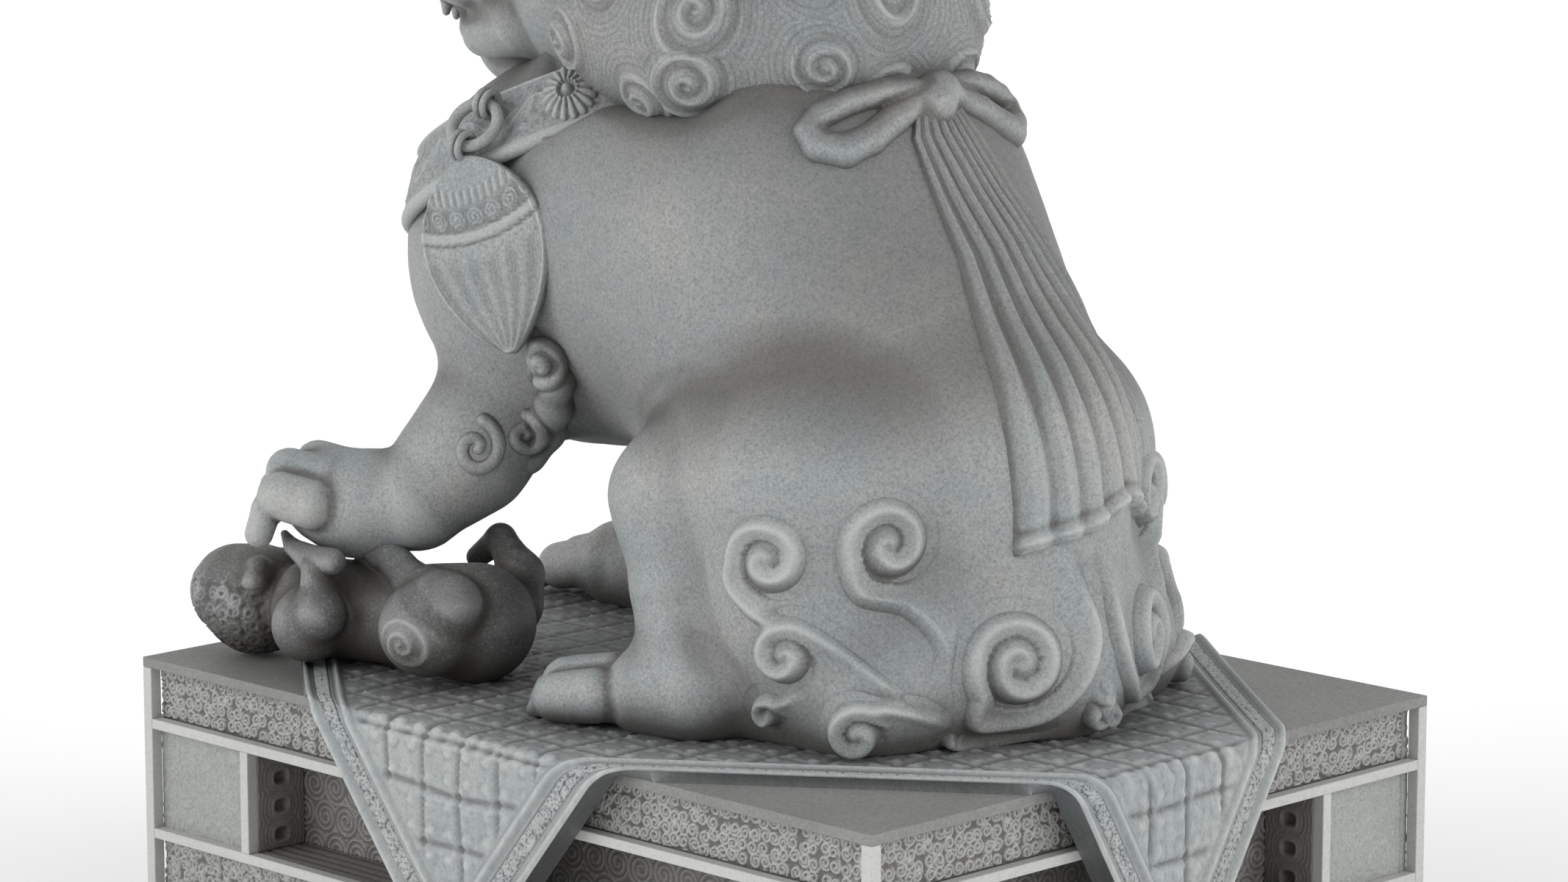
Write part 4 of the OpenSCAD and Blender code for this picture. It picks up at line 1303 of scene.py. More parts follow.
class LION_OT_haunch(bpy.types.Operator):
    """Volutes carved on both haunches"""
    bl_idname = "guardian_lion.haunch"
    bl_label = "Haunch Scrolls"

    def execute(self, context):
        forms = lion_forms()
        step = 6
        angle = np.radians(spaced(-34, 122, 0.64, step))
        height = spaced(-1.0, 262, 1.9, step)
        aa, zz = np.meshgrid(angle, height, indexing="ij")
        skin_at = shell_patch(forms, HAUNCH, aa, zz, floor=-1.5)
        normal = grid_normals(skin_at)
        if (normal[..., 0] * np.cos(aa) + normal[..., 1] * np.sin(aa)).mean() < 0:
            normal = -normal
        bend = slopes(forms, skin_at.reshape(-1, 3), 9.0, -1.5)[2].reshape(aa.shape)
        crest, groove, near = np.zeros(aa.shape), np.zeros(aa.shape), np.zeros(aa.shape)
        disc = np.zeros(aa.shape)
        for spot, radius, turns, start, hand, tail, width in haunch_scrolls():
            path = laid_coil(forms, HAUNCH, spot, radius, turns, start, hand, tail, -1.5)
            one, cut, close = ridge_on(skin_at, normal, path, width, hand)
            crest, groove, near = np.maximum(crest, one), np.maximum(groove, cut), np.maximum(near, close)
            middle = on_skin(forms, HAUNCH, [spot[0]], [spot[1]], -1.5)[0]
            d = np.linalg.norm(skin_at - middle, axis=-1) / radius
            disc = np.maximum(disc, np.where(radius > 10, 1 - smooth_step(0.55, 1.15, d), 0))
        span = np.ptp(aa)
        border = (smooth_step(0, 0.04, (aa - aa.min()) / span) * smooth_step(0, 0.03, (aa.max() - aa) / span)
                  * smooth_step(0, 0.05, (height.max() - zz) / np.ptp(height)))
        near = near * border
        lift = hand_worked(skin_at, 0.8) - 0.9 + near * 2.4
        lift = lift + border * (9.5 * crest - 3.5 * groove * (1 - crest) + 4.0 * disc)
        lift = lift * smooth_step(-1.5, 5, zz) - 0.9 * (1 - smooth_step(-1.5, 5, zz))
        carve = ridges_and_painted_shade(forms + mane_forms(), skin_at, normal, bend, -1.5)
        carve = np.clip(carve + border * (0.7 * crest - 0.85 * groove * (1 - crest)), -1, 1)
        front = skin_at + normal * lift[..., None]
        back = (skin_at - 7 * normal)[::step, ::step]
        back[..., 2] = np.maximum(back[..., 2], 0)
        points, quads, others = backed_grid(front, back, step)
        marks = np.concatenate([carve.ravel(), np.zeros(back[..., 0].size)])
        for name, side in (("left", 1), ("right", -1)):
            mesh = new_mesh(f"haunch_{name}", placed(points) * [side, 1, 1], quads, others)
            add_piece(f"haunch_{name}", mesh, finish_of("lion_stone"), "lion_stone", carve=marks)
        return {"FINISHED"}


# Course of the fringe's thick edge behind the foreleg, each with its radius
FRINGE = ((198, -124, 334, 10), (196, -112, 312, 14), (180, -111, 289, 16), (158, -140, 260, 18),
          (143, -172, 230, 20), (153, -187, 207, 19), (172, -202, 193, 18), (194, -220, 182, 12))


def fringe_forms():
    """Tuft behind the raised foreleg: a thick wavy edge."""
    return [(12, list(pair)) for pair in zip(FRINGE, FRINGE[1:])]


class LION_OT_fringe(bpy.types.Operator):
    """Tuft of volutes behind the raised foreleg"""
    bl_idname = "guardian_lion.fringe"
    bl_label = "Foreleg Fringe"

    def execute(self, context):
        body = lion_forms()
        tuft = fringe_forms()
        whole = body + tuft
        out = unit_vectors(np.array([0.70, 0.68, 0.12]))
        side = unit_vectors(np.cross([0.0, 0.0, 1.0], out))
        up = np.cross(out, side)
        forms = list(tuft)
        for u, v, radius, turns, start, hand in (
                (70, 60, 22, 1.3, 100, -1), (49, -6, 20, 1.3, 80, -1), (4, -18, 24, 1.3, 70, -1)):
            flat = coil((u, v), radius, turns, start, hand, count=46)
            flat[:, 1] = v + (flat[:, 1] - v) * (1.15 if radius > 23 else 1)
            start_at = np.array([186.0, -222.0, 232.0]) + 70 * out
            path = start_at + flat[:, :1] * side + flat[:, 1:] * up
            for _ in range(30):
                path = path - out * np.clip(field(whole, path) + 2.0, -20, 30)[:, None] * 0.8
            balls = [tuple(p) + (8.0 - 2.6 * k / len(path),) for k, p in enumerate(path)]
            forms.append((3, balls))
        sculpted("foreleg_fringe", forms, 2.6 * MM, "lion_stone", "lion_stone", (), unevenness=0.3,
                 around=body)
        return {"FINISHED"}


# Vertical axis the sash is laid about
SASH = (0, 42)


class LION_OT_sash(bpy.types.Operator):
    """The knotted sash that falls down the back in pleats"""
    bl_idname = "guardian_lion.sash"
    bl_label = "Sash and Bow"

    def execute(self, context):
        forms = lion_forms()
        step = 5
        t, s = np.linspace(0, 1, 261), np.linspace(0, 1, 131)
        tt, ss = np.meshgrid(t, s, indexing="ij")
        down = np.array([0, 0.09, 0.20, 0.35, 0.52, 0.70, 0.88, 1.0])
        left = np.interp(t, down, [80, 75, 76.5, 78.5, 78, 77, 77.5, 77])[:, None]
        right = np.interp(t, down, [96, 101, 105, 112, 118, 122, 126, 128])[:, None]
        hem = 171 + 30 * np.sin(np.clip(ss / 0.62, 0, 1) * np.pi / 2) ** 1.5 - 46 * smooth_step(0.45, 1, ss)
        hem = hem + 2.0 * np.sin(ss * 5 * np.pi)
        zz = 572 + (hem - 572) * tt
        aa = np.radians(left + (right - left) * ss)
        at = shell_patch(forms, SASH, aa, zz)
        normal = grid_normals(at)
        if (normal[..., 0] * np.cos(aa) + normal[..., 1] * np.sin(aa)).mean() < 0:
            normal = -normal
        count = 8
        wander = 0.10 * np.sin(5 * tt + 9 * ss) + 0.05 * np.sin(13 * tt + 4 * ss)
        phase = ss * count + wander
        lap = phase - np.floor(phase)
        rising, falling = np.sin(lap / 0.68 * np.pi / 2), np.cos((lap - 0.68) / 0.32 * np.pi / 2)
        pleat = np.where(lap < 0.68, rising, falling) ** 1.1
        second = 0.5 + 0.5 * np.cos(TURN * (ss * count * 3 + 0.4 * np.sin(9 * tt)))
        depth = (2.2 + 3.6 * smooth_step(0, 0.6, tt)) * (1 - 0.6 * smooth_step(0.72, 0.85, ss))
        hem_roll = bell(tt - 0.972, 0.014)
        sides = smooth_step(0, 0.02, ss) * smooth_step(1, 0.975, ss)
        lift = (3.0 + depth * pleat + 0.8 * second + 5.5 * hem_roll) * sides - 1.5 * (1 - sides)
        lift = np.where(tt > 0.993, -1.5, lift)
        bend = slopes(forms, at.reshape(-1, 3), 9.0)[2].reshape(tt.shape)
        carve = ridges_and_painted_shade(forms + mane_forms(), at, normal, bend)
        fold = 1 - 0.6 * smooth_step(0.72, 0.85, ss)
        carve = carve + fold * (0.3 * pleat ** 2 - 0.5 * (1 - pleat) ** 1.5) + 0.15 * second + 0.5 * hem_roll
        carve = carve - 0.8 * bell(ss, 0.016) - 0.7 * bell(tt - 0.945, 0.01)
        front = at + normal * (lift + hand_worked(at, 0.8))[..., None]
        back = (at - 6 * normal)[::step, ::step]
        points, quads, others = backed_grid(front, back, step)
        mesh = new_mesh("sash", placed(points), quads, others)
        marks = np.concatenate([np.clip(carve, -1, 1).ravel(), np.zeros(back[..., 0].size)])
        add_piece("sash", mesh, finish_of("lion_stone"), "lion_stone", ["sash"], carve=marks)
        sculpted("bow", self.bow(), 3.0 * MM, "lion_stone", "lion_stone", (), unevenness=0.4,
                 around=forms + mane_forms())
        return {"FINISHED"}

    def bow(self):
        """Knot, two loops and the gathered head of the sash."""
        loop = [(24, 212, 568), (57, 211, 553), (86, 209, 537), (110, 201, 528), (128, 186, 533),
                (131, 176, 547), (118, 178, 560), (90, 188, 571), (56, 198, 578), (26, 205, 577)]
        width = (13, 15, 16, 17, 16, 14, 13, 13, 13, 13)
        balls = [p + (w,) for p, w in zip(loop, width)]
        folds = [(10, [(8 + 5 * k, 212, 566, 9), (10 + 14 * k, 224, 520, 8), (12 + 22 * k, 248, 455, 5)])
                 for k in (-2, -1, 0, 1, 2)]
        return both_sides([(6, balls)]) + [(8, [(-4, 210, 574, 22), (6, 214, 566, 22)])] + folds


MANE_MIDDLE = np.array([0.0, -25.0, 705.0])


def mane_forms():
    """A dome over a rim that rises towards the face, with the top knot."""
    ring = [(130 * np.cos(a), -32 + (152 if a < TURN / 2 else 88) * np.sin(a),
             614 + 40 * max(0, -np.sin(a)) + 48 * max(0, -np.sin(a)) ** 2 + 10 * max(0, np.sin(a)),
             76 if a < TURN / 2 else 66) for a in np.arange(8) * TURN / 8 + TURN / 16]
    around = [(40, [ring[k], ring[(k + 1) % 8]]) for k in range(8)]
    return [(30, [(0, -20, 735, 184)])] + around + [
        (40, [(0, -10, 690, 172), (0, -5, 640, 165)]), (34, [(0, -20, 872, 116)])]


def mane_curls():
    """Curls of the mane: turn about the vertical axis from the lion's left towards its tail,
    height over the middle, both in degrees, radius in thousandths, and hand."""
    curls = []
    for row, (rise, count, radius, start) in enumerate((
            (-30, 11, 30, -12), (-9, 10, 35, 4), (13, 10, 37, -10), (36, 8, 35, 8), (60, 5, 30, 0))):
        for k in range(count):
            turn = start + 250 * k / (count - 1) - 30 + 5 * np.sin(k * 3.7 + row * 1.9)
            size = radius * (1 + 0.16 * np.sin(k * 2.9 + row * 2.3))
            curls.append((turn, rise + 6 * np.sin(k * 2.1 + row), size, 1 if (k + row) % 2 else -1))
    return curls


def from_middle(turn, rise):
    """Direction from the mane's middle for a turn and a rise in degrees."""
    t, r = np.radians(turn), np.radians(rise)
    return np.stack([np.cos(t) * np.cos(r), np.sin(t) * np.cos(r), np.sin(r)], -1)


class LION_OT_mane(bpy.types.Operator):
    """The mane: a dome of spiral curls of fine hair, with a top knot"""
    bl_idname = "guardian_lion.mane"
    bl_label = "Mane"

    def execute(self, context):
        rows, cols = 216, 430
        rise = np.radians(np.linspace(-88, 89.2, rows))
        turn = np.linspace(0, TURN, cols, endpoint=False)
        rr, tt = np.meshgrid(rise, turn, indexing="ij")
        ray = np.stack([np.cos(tt) * np.cos(rr), np.sin(tt) * np.cos(rr), np.sin(rr)], -1)
        forms = mane_forms()
        r = np.full(rr.shape, 330.0)
        for _ in range(26):
            r = r - np.clip(field(forms, MANE_MIDDLE + ray * r[..., None]), -40, 60) * 0.85
        at = MANE_MIDDLE + ray * r[..., None]
        _, normal, bend = slopes(forms, at.reshape(-1, 3), 6.0)
        normal = normal.reshape(at.shape)
        height, carve, strand = self.hair(at, r)
        at = at + normal * height[..., None]
        points = placed(at.reshape(-1, 3))
        quads = grid_quads(rows, cols, wrap_cols=True)
        ends = [np.arange(cols), (rows - 1) * cols + np.arange(cols)[::-1]]
        mesh = new_mesh("mane", points, quads, ends)
        # Painted shade in the mane's creases
        dent = np.clip((bend - 0.01) * 16, -0.8, 0.0)
        add_piece("mane", mesh, finish_of("shaded_hair_stone"), "lion_stone", ["lion_head"],
                  carve=np.clip(carve.ravel() + dent, -1, 1), strand=strand)
        return {"FINISHED"}

    def hair(self, at, r):
        """Height, carve mark and strand phase of the hair. Each point takes after its nearest
        curl, near counted in that curl's radius: inside it a volute whose crest follows the
        distance less the angle, and outside it lines that keep their distance from it."""
        nearest = np.full(r.shape, 1e9)
        height, carve, strand = np.zeros(r.shape), np.zeros(r.shape), np.zeros(r.shape)
        for turn, rise, radius, hand in mane_curls():
            out = from_middle(turn, rise)
            side = np.array([-np.sin(np.radians(turn)), np.cos(np.radians(turn)), 0])
            up = np.cross(out, side)
            spot = MANE_MIDDLE + out * 200
            away = at - MANE_MIDDLE
            scaled = away * (200 / np.maximum(np.linalg.norm(away, axis=-1, keepdims=True), 1))
            u, v = (scaled + MANE_MIDDLE - spot) @ side, (scaled + MANE_MIDDLE - spot) @ up
            facing = (away @ out) > 0
            d = np.where(facing, np.hypot(u, v), 1e6)
            share = d / radius
            take = share < nearest
            angle = np.arctan2(v, u) + np.radians(turn * 3)
            phase = 2.1 * np.clip(share, 0, 1.5) ** 0.85 - hand * angle / TURN
            lap = phase - np.floor(phase)
            crest = bell(np.abs(lap - 0.5) - 0.5, 0.16)
            valley = bell(lap - 0.62, 0.2)
            inside = smooth_step(1.12, 0.85, share)
            rise_here = inside * (5.0 * (1 - share ** 2).clip(0) + 3.6 * crest - 2.0 * valley)
            height = np.where(take, rise_here, height)
            carve_here = inside * (0.6 * crest - 0.55 * valley) - 0.22 * bell(share - 1.12, 0.1)
            carve = np.where(take, carve_here, carve)
            strand = np.where(take, d / 5.4, strand)
            nearest = np.where(take, share, nearest)
        fine = 0.55 * np.cos(TURN * strand)
        return height + fine, carve, strand


class LION_OT_face(bpy.types.Operator):
    """The lion's face: muzzle, jaw, fangs, brows, eyes and ears"""
    bl_idname = "guardian_lion.face"
    bl_label = "Face"

    def execute(self, context):
        sculpted("face", face_forms(), carving().face_cell, "lion_stone", "lion_stone", ["lion_head"],
                 unevenness=0.4)
        return {"FINISHED"}


class LION_OT_cub(bpy.types.Operator):
    """The cub on its back under the raised paw"""
    bl_idname = "guardian_lion.cub"
    bl_label = "Cub"

    def execute(self, context):
        low = CAP_HIGH[2] - SEAT
        sculpted("cub", cub_forms(), carving().cub_cell, "cub_stone", "cub_stone", ["cub"],
                 floor=0.0, unevenness=0.5, base=low, relief=self.hair)
        return {"FINISHED"}

    def hair(self, p):
        """Curly hair round the head, a volute on the rump and folds over the ribs."""
        head = p - np.array([293, -444, 56])
        far = np.linalg.norm(head, axis=-1)
        face = smooth_step(0.35, 0.62, head[..., 2] / np.maximum(far, 1))
        on_head = smooth_step(74, 62, far) * (1 - face)
        curls = small_curls(np.arctan2(head[..., 1], head[..., 0]) * 54, p[..., 2], 15.0, 2.3, 17)
        rump = p - np.array([330, -158, 56])
        r = np.hypot(rump[..., 1], rump[..., 2])
        lap = 2.2 * (r / 24) ** 0.8 - np.arctan2(rump[..., 2], rump[..., 1]) / TURN
        coil_line = bell(np.abs(lap - np.floor(lap) - 0.5) - 0.5, 0.17) * smooth_step(30, 24, r)
        coil_line = coil_line * smooth_step(300, 318, p[..., 0])
        rise = 3.4 * on_head * (curls - 0.5) + 2.6 * coil_line
        return rise, on_head * (1.1 * curls - 0.75) + 0.5 * coil_line


# ---- harness ----

class CollarShape:
    """The collar's cone, from its named sizes: places on it from a turn, a height along its own
    axis and a distance off its face."""
    low_r, top_r, tall, thick, roll = 258 * MM, 214 * MM, 72 * MM, 16 * MM, 9 * MM
    tilt = np.radians(25)
    slope = np.arctan2(258 - 214, 72)
    back = -225 * UNIT
    up = SEAT + 478 * UNIT

    def at(self, turn, h, off):
        r = self.low_r + (self.top_r - self.low_r) * h / self.tall + off * np.cos(self.slope)
        z = h + off * np.sin(self.slope)
        x, y = r * np.cos(turn), r * np.sin(turn)
        return np.stack([x, self.back + y * np.cos(self.tilt) - z * np.sin(self.tilt),
                         self.up + y * np.sin(self.tilt) + z * np.cos(self.tilt)], -1)


class LION_OT_collar(bpy.types.Operator):
    """The collar band with its leaves, rolled edge and rosettes"""
    bl_idname = "guardian_lion.collar"
    bl_label = "Collar"

    def execute(self, context):
        shape = CollarShape()
        turns = np.linspace(0, TURN, 760, endpoint=False)
        h = np.linspace(2 * MM, shape.tall - 1 * MM, 52)
        roll = np.radians(np.linspace(-250, 60, 18))
        roll_h = shape.roll * np.sin(roll)
        roll_off = -shape.thick / 2 + shape.roll * np.cos(roll)
        tt, hh = np.meshgrid(turns, h, indexing="ij")
        rise, mark = self.leaves(tt, hh / shape.tall, shape)
        face = shape.at(tt, hh, rise)
        tr, hr = np.meshgrid(turns, roll_h, indexing="ij")
        edge = shape.at(tr, hr, np.broadcast_to(roll_off, tr.shape))
        back_h = np.array([shape.tall - 1 * MM, shape.tall / 2, shape.roll * 0.5])
        tb, hb = np.meshgrid(turns, back_h, indexing="ij")
        back = shape.at(tb, hb, -shape.thick + 0 * tb)
        whole = np.concatenate([edge, face, back], 1)
        marks = np.concatenate([0.5 + 0 * tr, mark, 0 * tb], 1)
        rows, cols = whole.shape[:2]
        mesh = new_mesh("collar", whole, grid_quads(rows, cols, True, True))
        add_piece("collar", mesh, finish_of("lion_stone"), "harness_stone", ["collar"], carve=marks)
        self.rosettes(shape)
        return {"FINISHED"}

    def leaves(self, turn, h, shape):
        """A winding stem with leaves on both sides, between a rim at the top and the roll."""
        u = turn * shape.low_r / shape.tall
        beat = 1.55
        stem_line = 0.5 + 0.2 * np.sin(u * TURN / beat)
        stem = bell(h - stem_line, 0.035)
        best = stem
        for shift, sign in ((0.0, 1), (0.5, -1)):
            x = np.mod(u / beat + shift + 0.25, 1) - 0.5
            y = (h - 0.5 - sign * 0.05) * sign
            for cx, cy, tilt, size in (
                    (-0.10, 0.08, 0.9, 0.30), (0.12, -0.02, -0.6, 0.24), (0.3, 0.2, 0.3, 0.16)):
                px, py = (x - cx) * beat, y - cy
                ux = px * np.cos(tilt) + py * np.sin(tilt)
                uy = -px * np.sin(tilt) + py * np.cos(tilt)
                narrow = 0.42 * size * (1 - 0.5 * ux / size)
                leaf = np.clip(1 - (ux / size) ** 2 - (uy / narrow) ** 2, 0, 1) ** 0.5
                vein = bell(uy, 0.018)
                best = np.maximum(best, leaf * 0.9 - 0.35 * vein * (leaf > 0.1))
        curls = small_curls(u, h * 0.98, 0.34, 0.05, 61) * 0.35
        rise = np.maximum(best, curls)
        rim = bell(h - 0.955, 0.03)
        inside = smooth_step(0.93, 0.88, h) * smooth_step(0.08, 0.16, h)
        height = rise * inside * 4.2 * MM + rim * 3.5 * MM - 1.5 * MM * inside
        return height, inside * (rise * 1.0 - 0.5) + 0.6 * rim

    def rosettes(self, shape):
        """Two many-petalled rosettes: petals are ridges along the radius on a low dome, round a
        button in a cup."""
        rows, cols, reach = 40, 128, 36 * MM
        r, a = np.meshgrid(np.linspace(0.02, 1, rows), np.linspace(0, TURN, cols, endpoint=False),
                           indexing="ij")
        petal = np.abs(np.cos(a * 8))
        wide = 1 - 0.10 * (1 - petal) * smooth_step(0.7, 1, r)
        dome = 11 * MM * (1 - r ** 2.2) ** 0.7 + 1 * MM
        body = dome - 4.2 * MM * smooth_step(0.2, 0.42, r) * (1 - petal) ** 1.4
        body = body - 5.5 * MM * bell(r - 0.24, 0.07) + 3.6 * MM * bell(r, 0.15)
        body = body + 1.8 * MM * bell(r - 0.36, 0.05)
        body[-1] = -6 * MM
        points, quads, others, marks, count = [], [], [], [], 0
        for side in (1, -1):
            turn0 = np.radians(40)
            x, y = r * reach * wide * np.cos(a), r * reach * wide * np.sin(a)
            at = shape.at(turn0 + x / shape.low_r, shape.tall * 0.52 + y, body)
            at = at * [side, 1, 1]
            quad = grid_quads(rows, cols, wrap_cols=True, start=count)
            caps = [np.arange(cols) + count, (np.arange(cols) + (rows - 1) * cols)[::-1] + count]
            if side < 0:
                quad, caps = quad[:, ::-1], [c[::-1] for c in caps]
            points.append(at.reshape(-1, 3))
            quads.append(quad)
            others += caps
            marks.append((0.5 * petal - 0.45 * (1 - petal) * (r > 0.3) - 0.9 * bell(r - 0.24, 0.08)).ravel())
            count += rows * cols
        mesh = new_mesh("collar_rosettes", np.vstack(points), np.vstack(quads), others)
        add_piece("collar_rosettes", mesh, finish_of("lion_stone"), "harness_stone",
                  ["collar_rosettes"], carve=np.concatenate(marks))


def torus(middle, axis_a, axis_b, radius, tube, around=96, across=28, worn=0.0):
    """Ring: a circle of the tube's radius carried round a circle in the plane of two axes."""
    a, b = np.meshgrid(np.linspace(0, TURN, around, endpoint=False),
                       np.linspace(0, TURN, across, endpoint=False), indexing="ij")
    out = np.cos(a)[..., None] * axis_a + np.sin(a)[..., None] * axis_b
    up = np.cross(axis_a, axis_b)
    tube = tube * (1 + worn * np.sin(3 * a + 0.7) * np.cos(2 * b))
    points = middle + out * (radius + tube * np.cos(b))[..., None] + up * (tube * np.sin(b))[..., None]
    return points, grid_quads(around, across, True, True)


def gathered(name, shapes, finish, slot, stands_for, body=BODY, carve=0.15):
    """One piece of several closed grids."""
    points, quads, count = [], [], 0
    for p, q in shapes:
        p = p.reshape(-1, 3)
        points.append(p)
        quads.append(q + count)
        count += len(p)
    points = np.vstack(points)
    mesh = new_mesh(name, points, np.vstack(quads))
    return add_piece(name, mesh, finish_of(finish), slot, stands_for, body=body,
                     carve=np.full(len(points), carve))


def hang_axes(lean, roll, side):
    """Axes of a hanging piece: outwards, along the chest and up, from its lean and roll."""
    az, ln, rl = np.radians([15, lean, roll])
    rz = np.array([[np.cos(az), -np.sin(az), 0], [np.sin(az), np.cos(az), 0], [0, 0, 1]])
    ry = np.array([[np.cos(ln), 0, np.sin(ln)], [0, 1, 0], [-np.sin(ln), 0, np.cos(ln)]])
    rx = np.array([[1, 0, 0], [0, np.cos(rl), -np.sin(rl)], [0, np.sin(rl), np.cos(rl)]])
    axes = (rz @ ry @ rx).T * np.array([side, 1, 1])
    return axes


def joint_place(name):
    """Place of a joint in the frame."""
    found = next(j for j in frame["joints"] if j["name"] == name)
    return np.array(found["pos_m"], float)


RING_LEAN, RING_ROLL = -38, -11
PENDANT_LEAN, PENDANT_ROLL = -4, 19
RING_R, RING_TUBE = 29 * MM, 7 * MM
LOOP_R, LOOP_WIRE, LOOP_GAP = 14.5 * MM, 4 * MM, 10 * MM


def loop_pair(at, side):
    """Two small loops side by side through which the ring passes."""
    out, along, up = hang_axes(RING_LEAN, RING_ROLL, side)
    return [torus(at + s * along * LOOP_GAP / 2, out, up, LOOP_R, LOOP_WIRE, 64, 20, 0.06) for s in (-1, 1)]


def peg(start, end, radius, count=24):
    """Short round peg between two points, with domed ends that close to their middles."""
    axis = unit_vectors(end - start)
    side = unit_vectors(np.cross(axis, [0.3, 0.2, 1.0]))
    other = np.cross(axis, side)
    rise = np.array([-0.5, -0.35, 0.0, 1.0, 1.35, 1.5])
    wide = np.array([0.05, 0.75, 1.0, 1.0, 0.75, 0.05])
    length = np.linalg.norm(end - start)
    along = np.where(rise < 0, rise * radius, np.where(rise > 1, length + (rise - 1) * radius, rise * length))
    a = np.linspace(0, TURN, count, endpoint=False)
    disc = np.cos(a)[:, None] * side + np.sin(a)[:, None] * other
    points = start + along[:, None, None] * axis + wide[:, None, None] * radius * disc[None]
    return points, grid_quads(len(rise), count, wrap_cols=True)


class LION_OT_rings(bpy.types.Operator):
    """Hanging rings and the small loops that carry them"""
    bl_idname = "guardian_lion.rings"
    bl_label = "Rings and Loops"

    def execute(self, context):
        shape = CollarShape()
        loops = []
        for name, side in (("left", 1), ("right", -1)):
            eye = joint_place(f"ring_{name}_swing")
            out, along, up = hang_axes(RING_LEAN, RING_ROLL, side)
            ring = torus(eye - up * RING_R, out * 0 + along, up, RING_R, RING_TUBE, 120, 32, 0.05)
            gathered(f"ring_{name}", [ring], "lion_stone", "harness_stone", [f"ring_{name}"],
                     body=f"ring_{name}", carve=0.22)
            loops += loop_pair(eye, side)
            turn, h = np.radians(17.5), shape.tall * 2 / 3
            foot = [shape.at(turn, h, off) * [side, 1, 1] for off in (-4 * MM, 8 * MM)]
            loops.append(peg(foot[0], foot[1], 7 * MM))
        gathered("collar_loops", loops, "lion_stone", "harness_stone", ["collar_loops"], carve=0.22)
        return {"FINISHED"}


def leaf_half(t):
    """Half width of the pendant's outline down its length, as a share of its width."""
    return 0.5 * np.maximum(np.sin(np.pi * t ** 0.85), 1e-4) ** 0.72


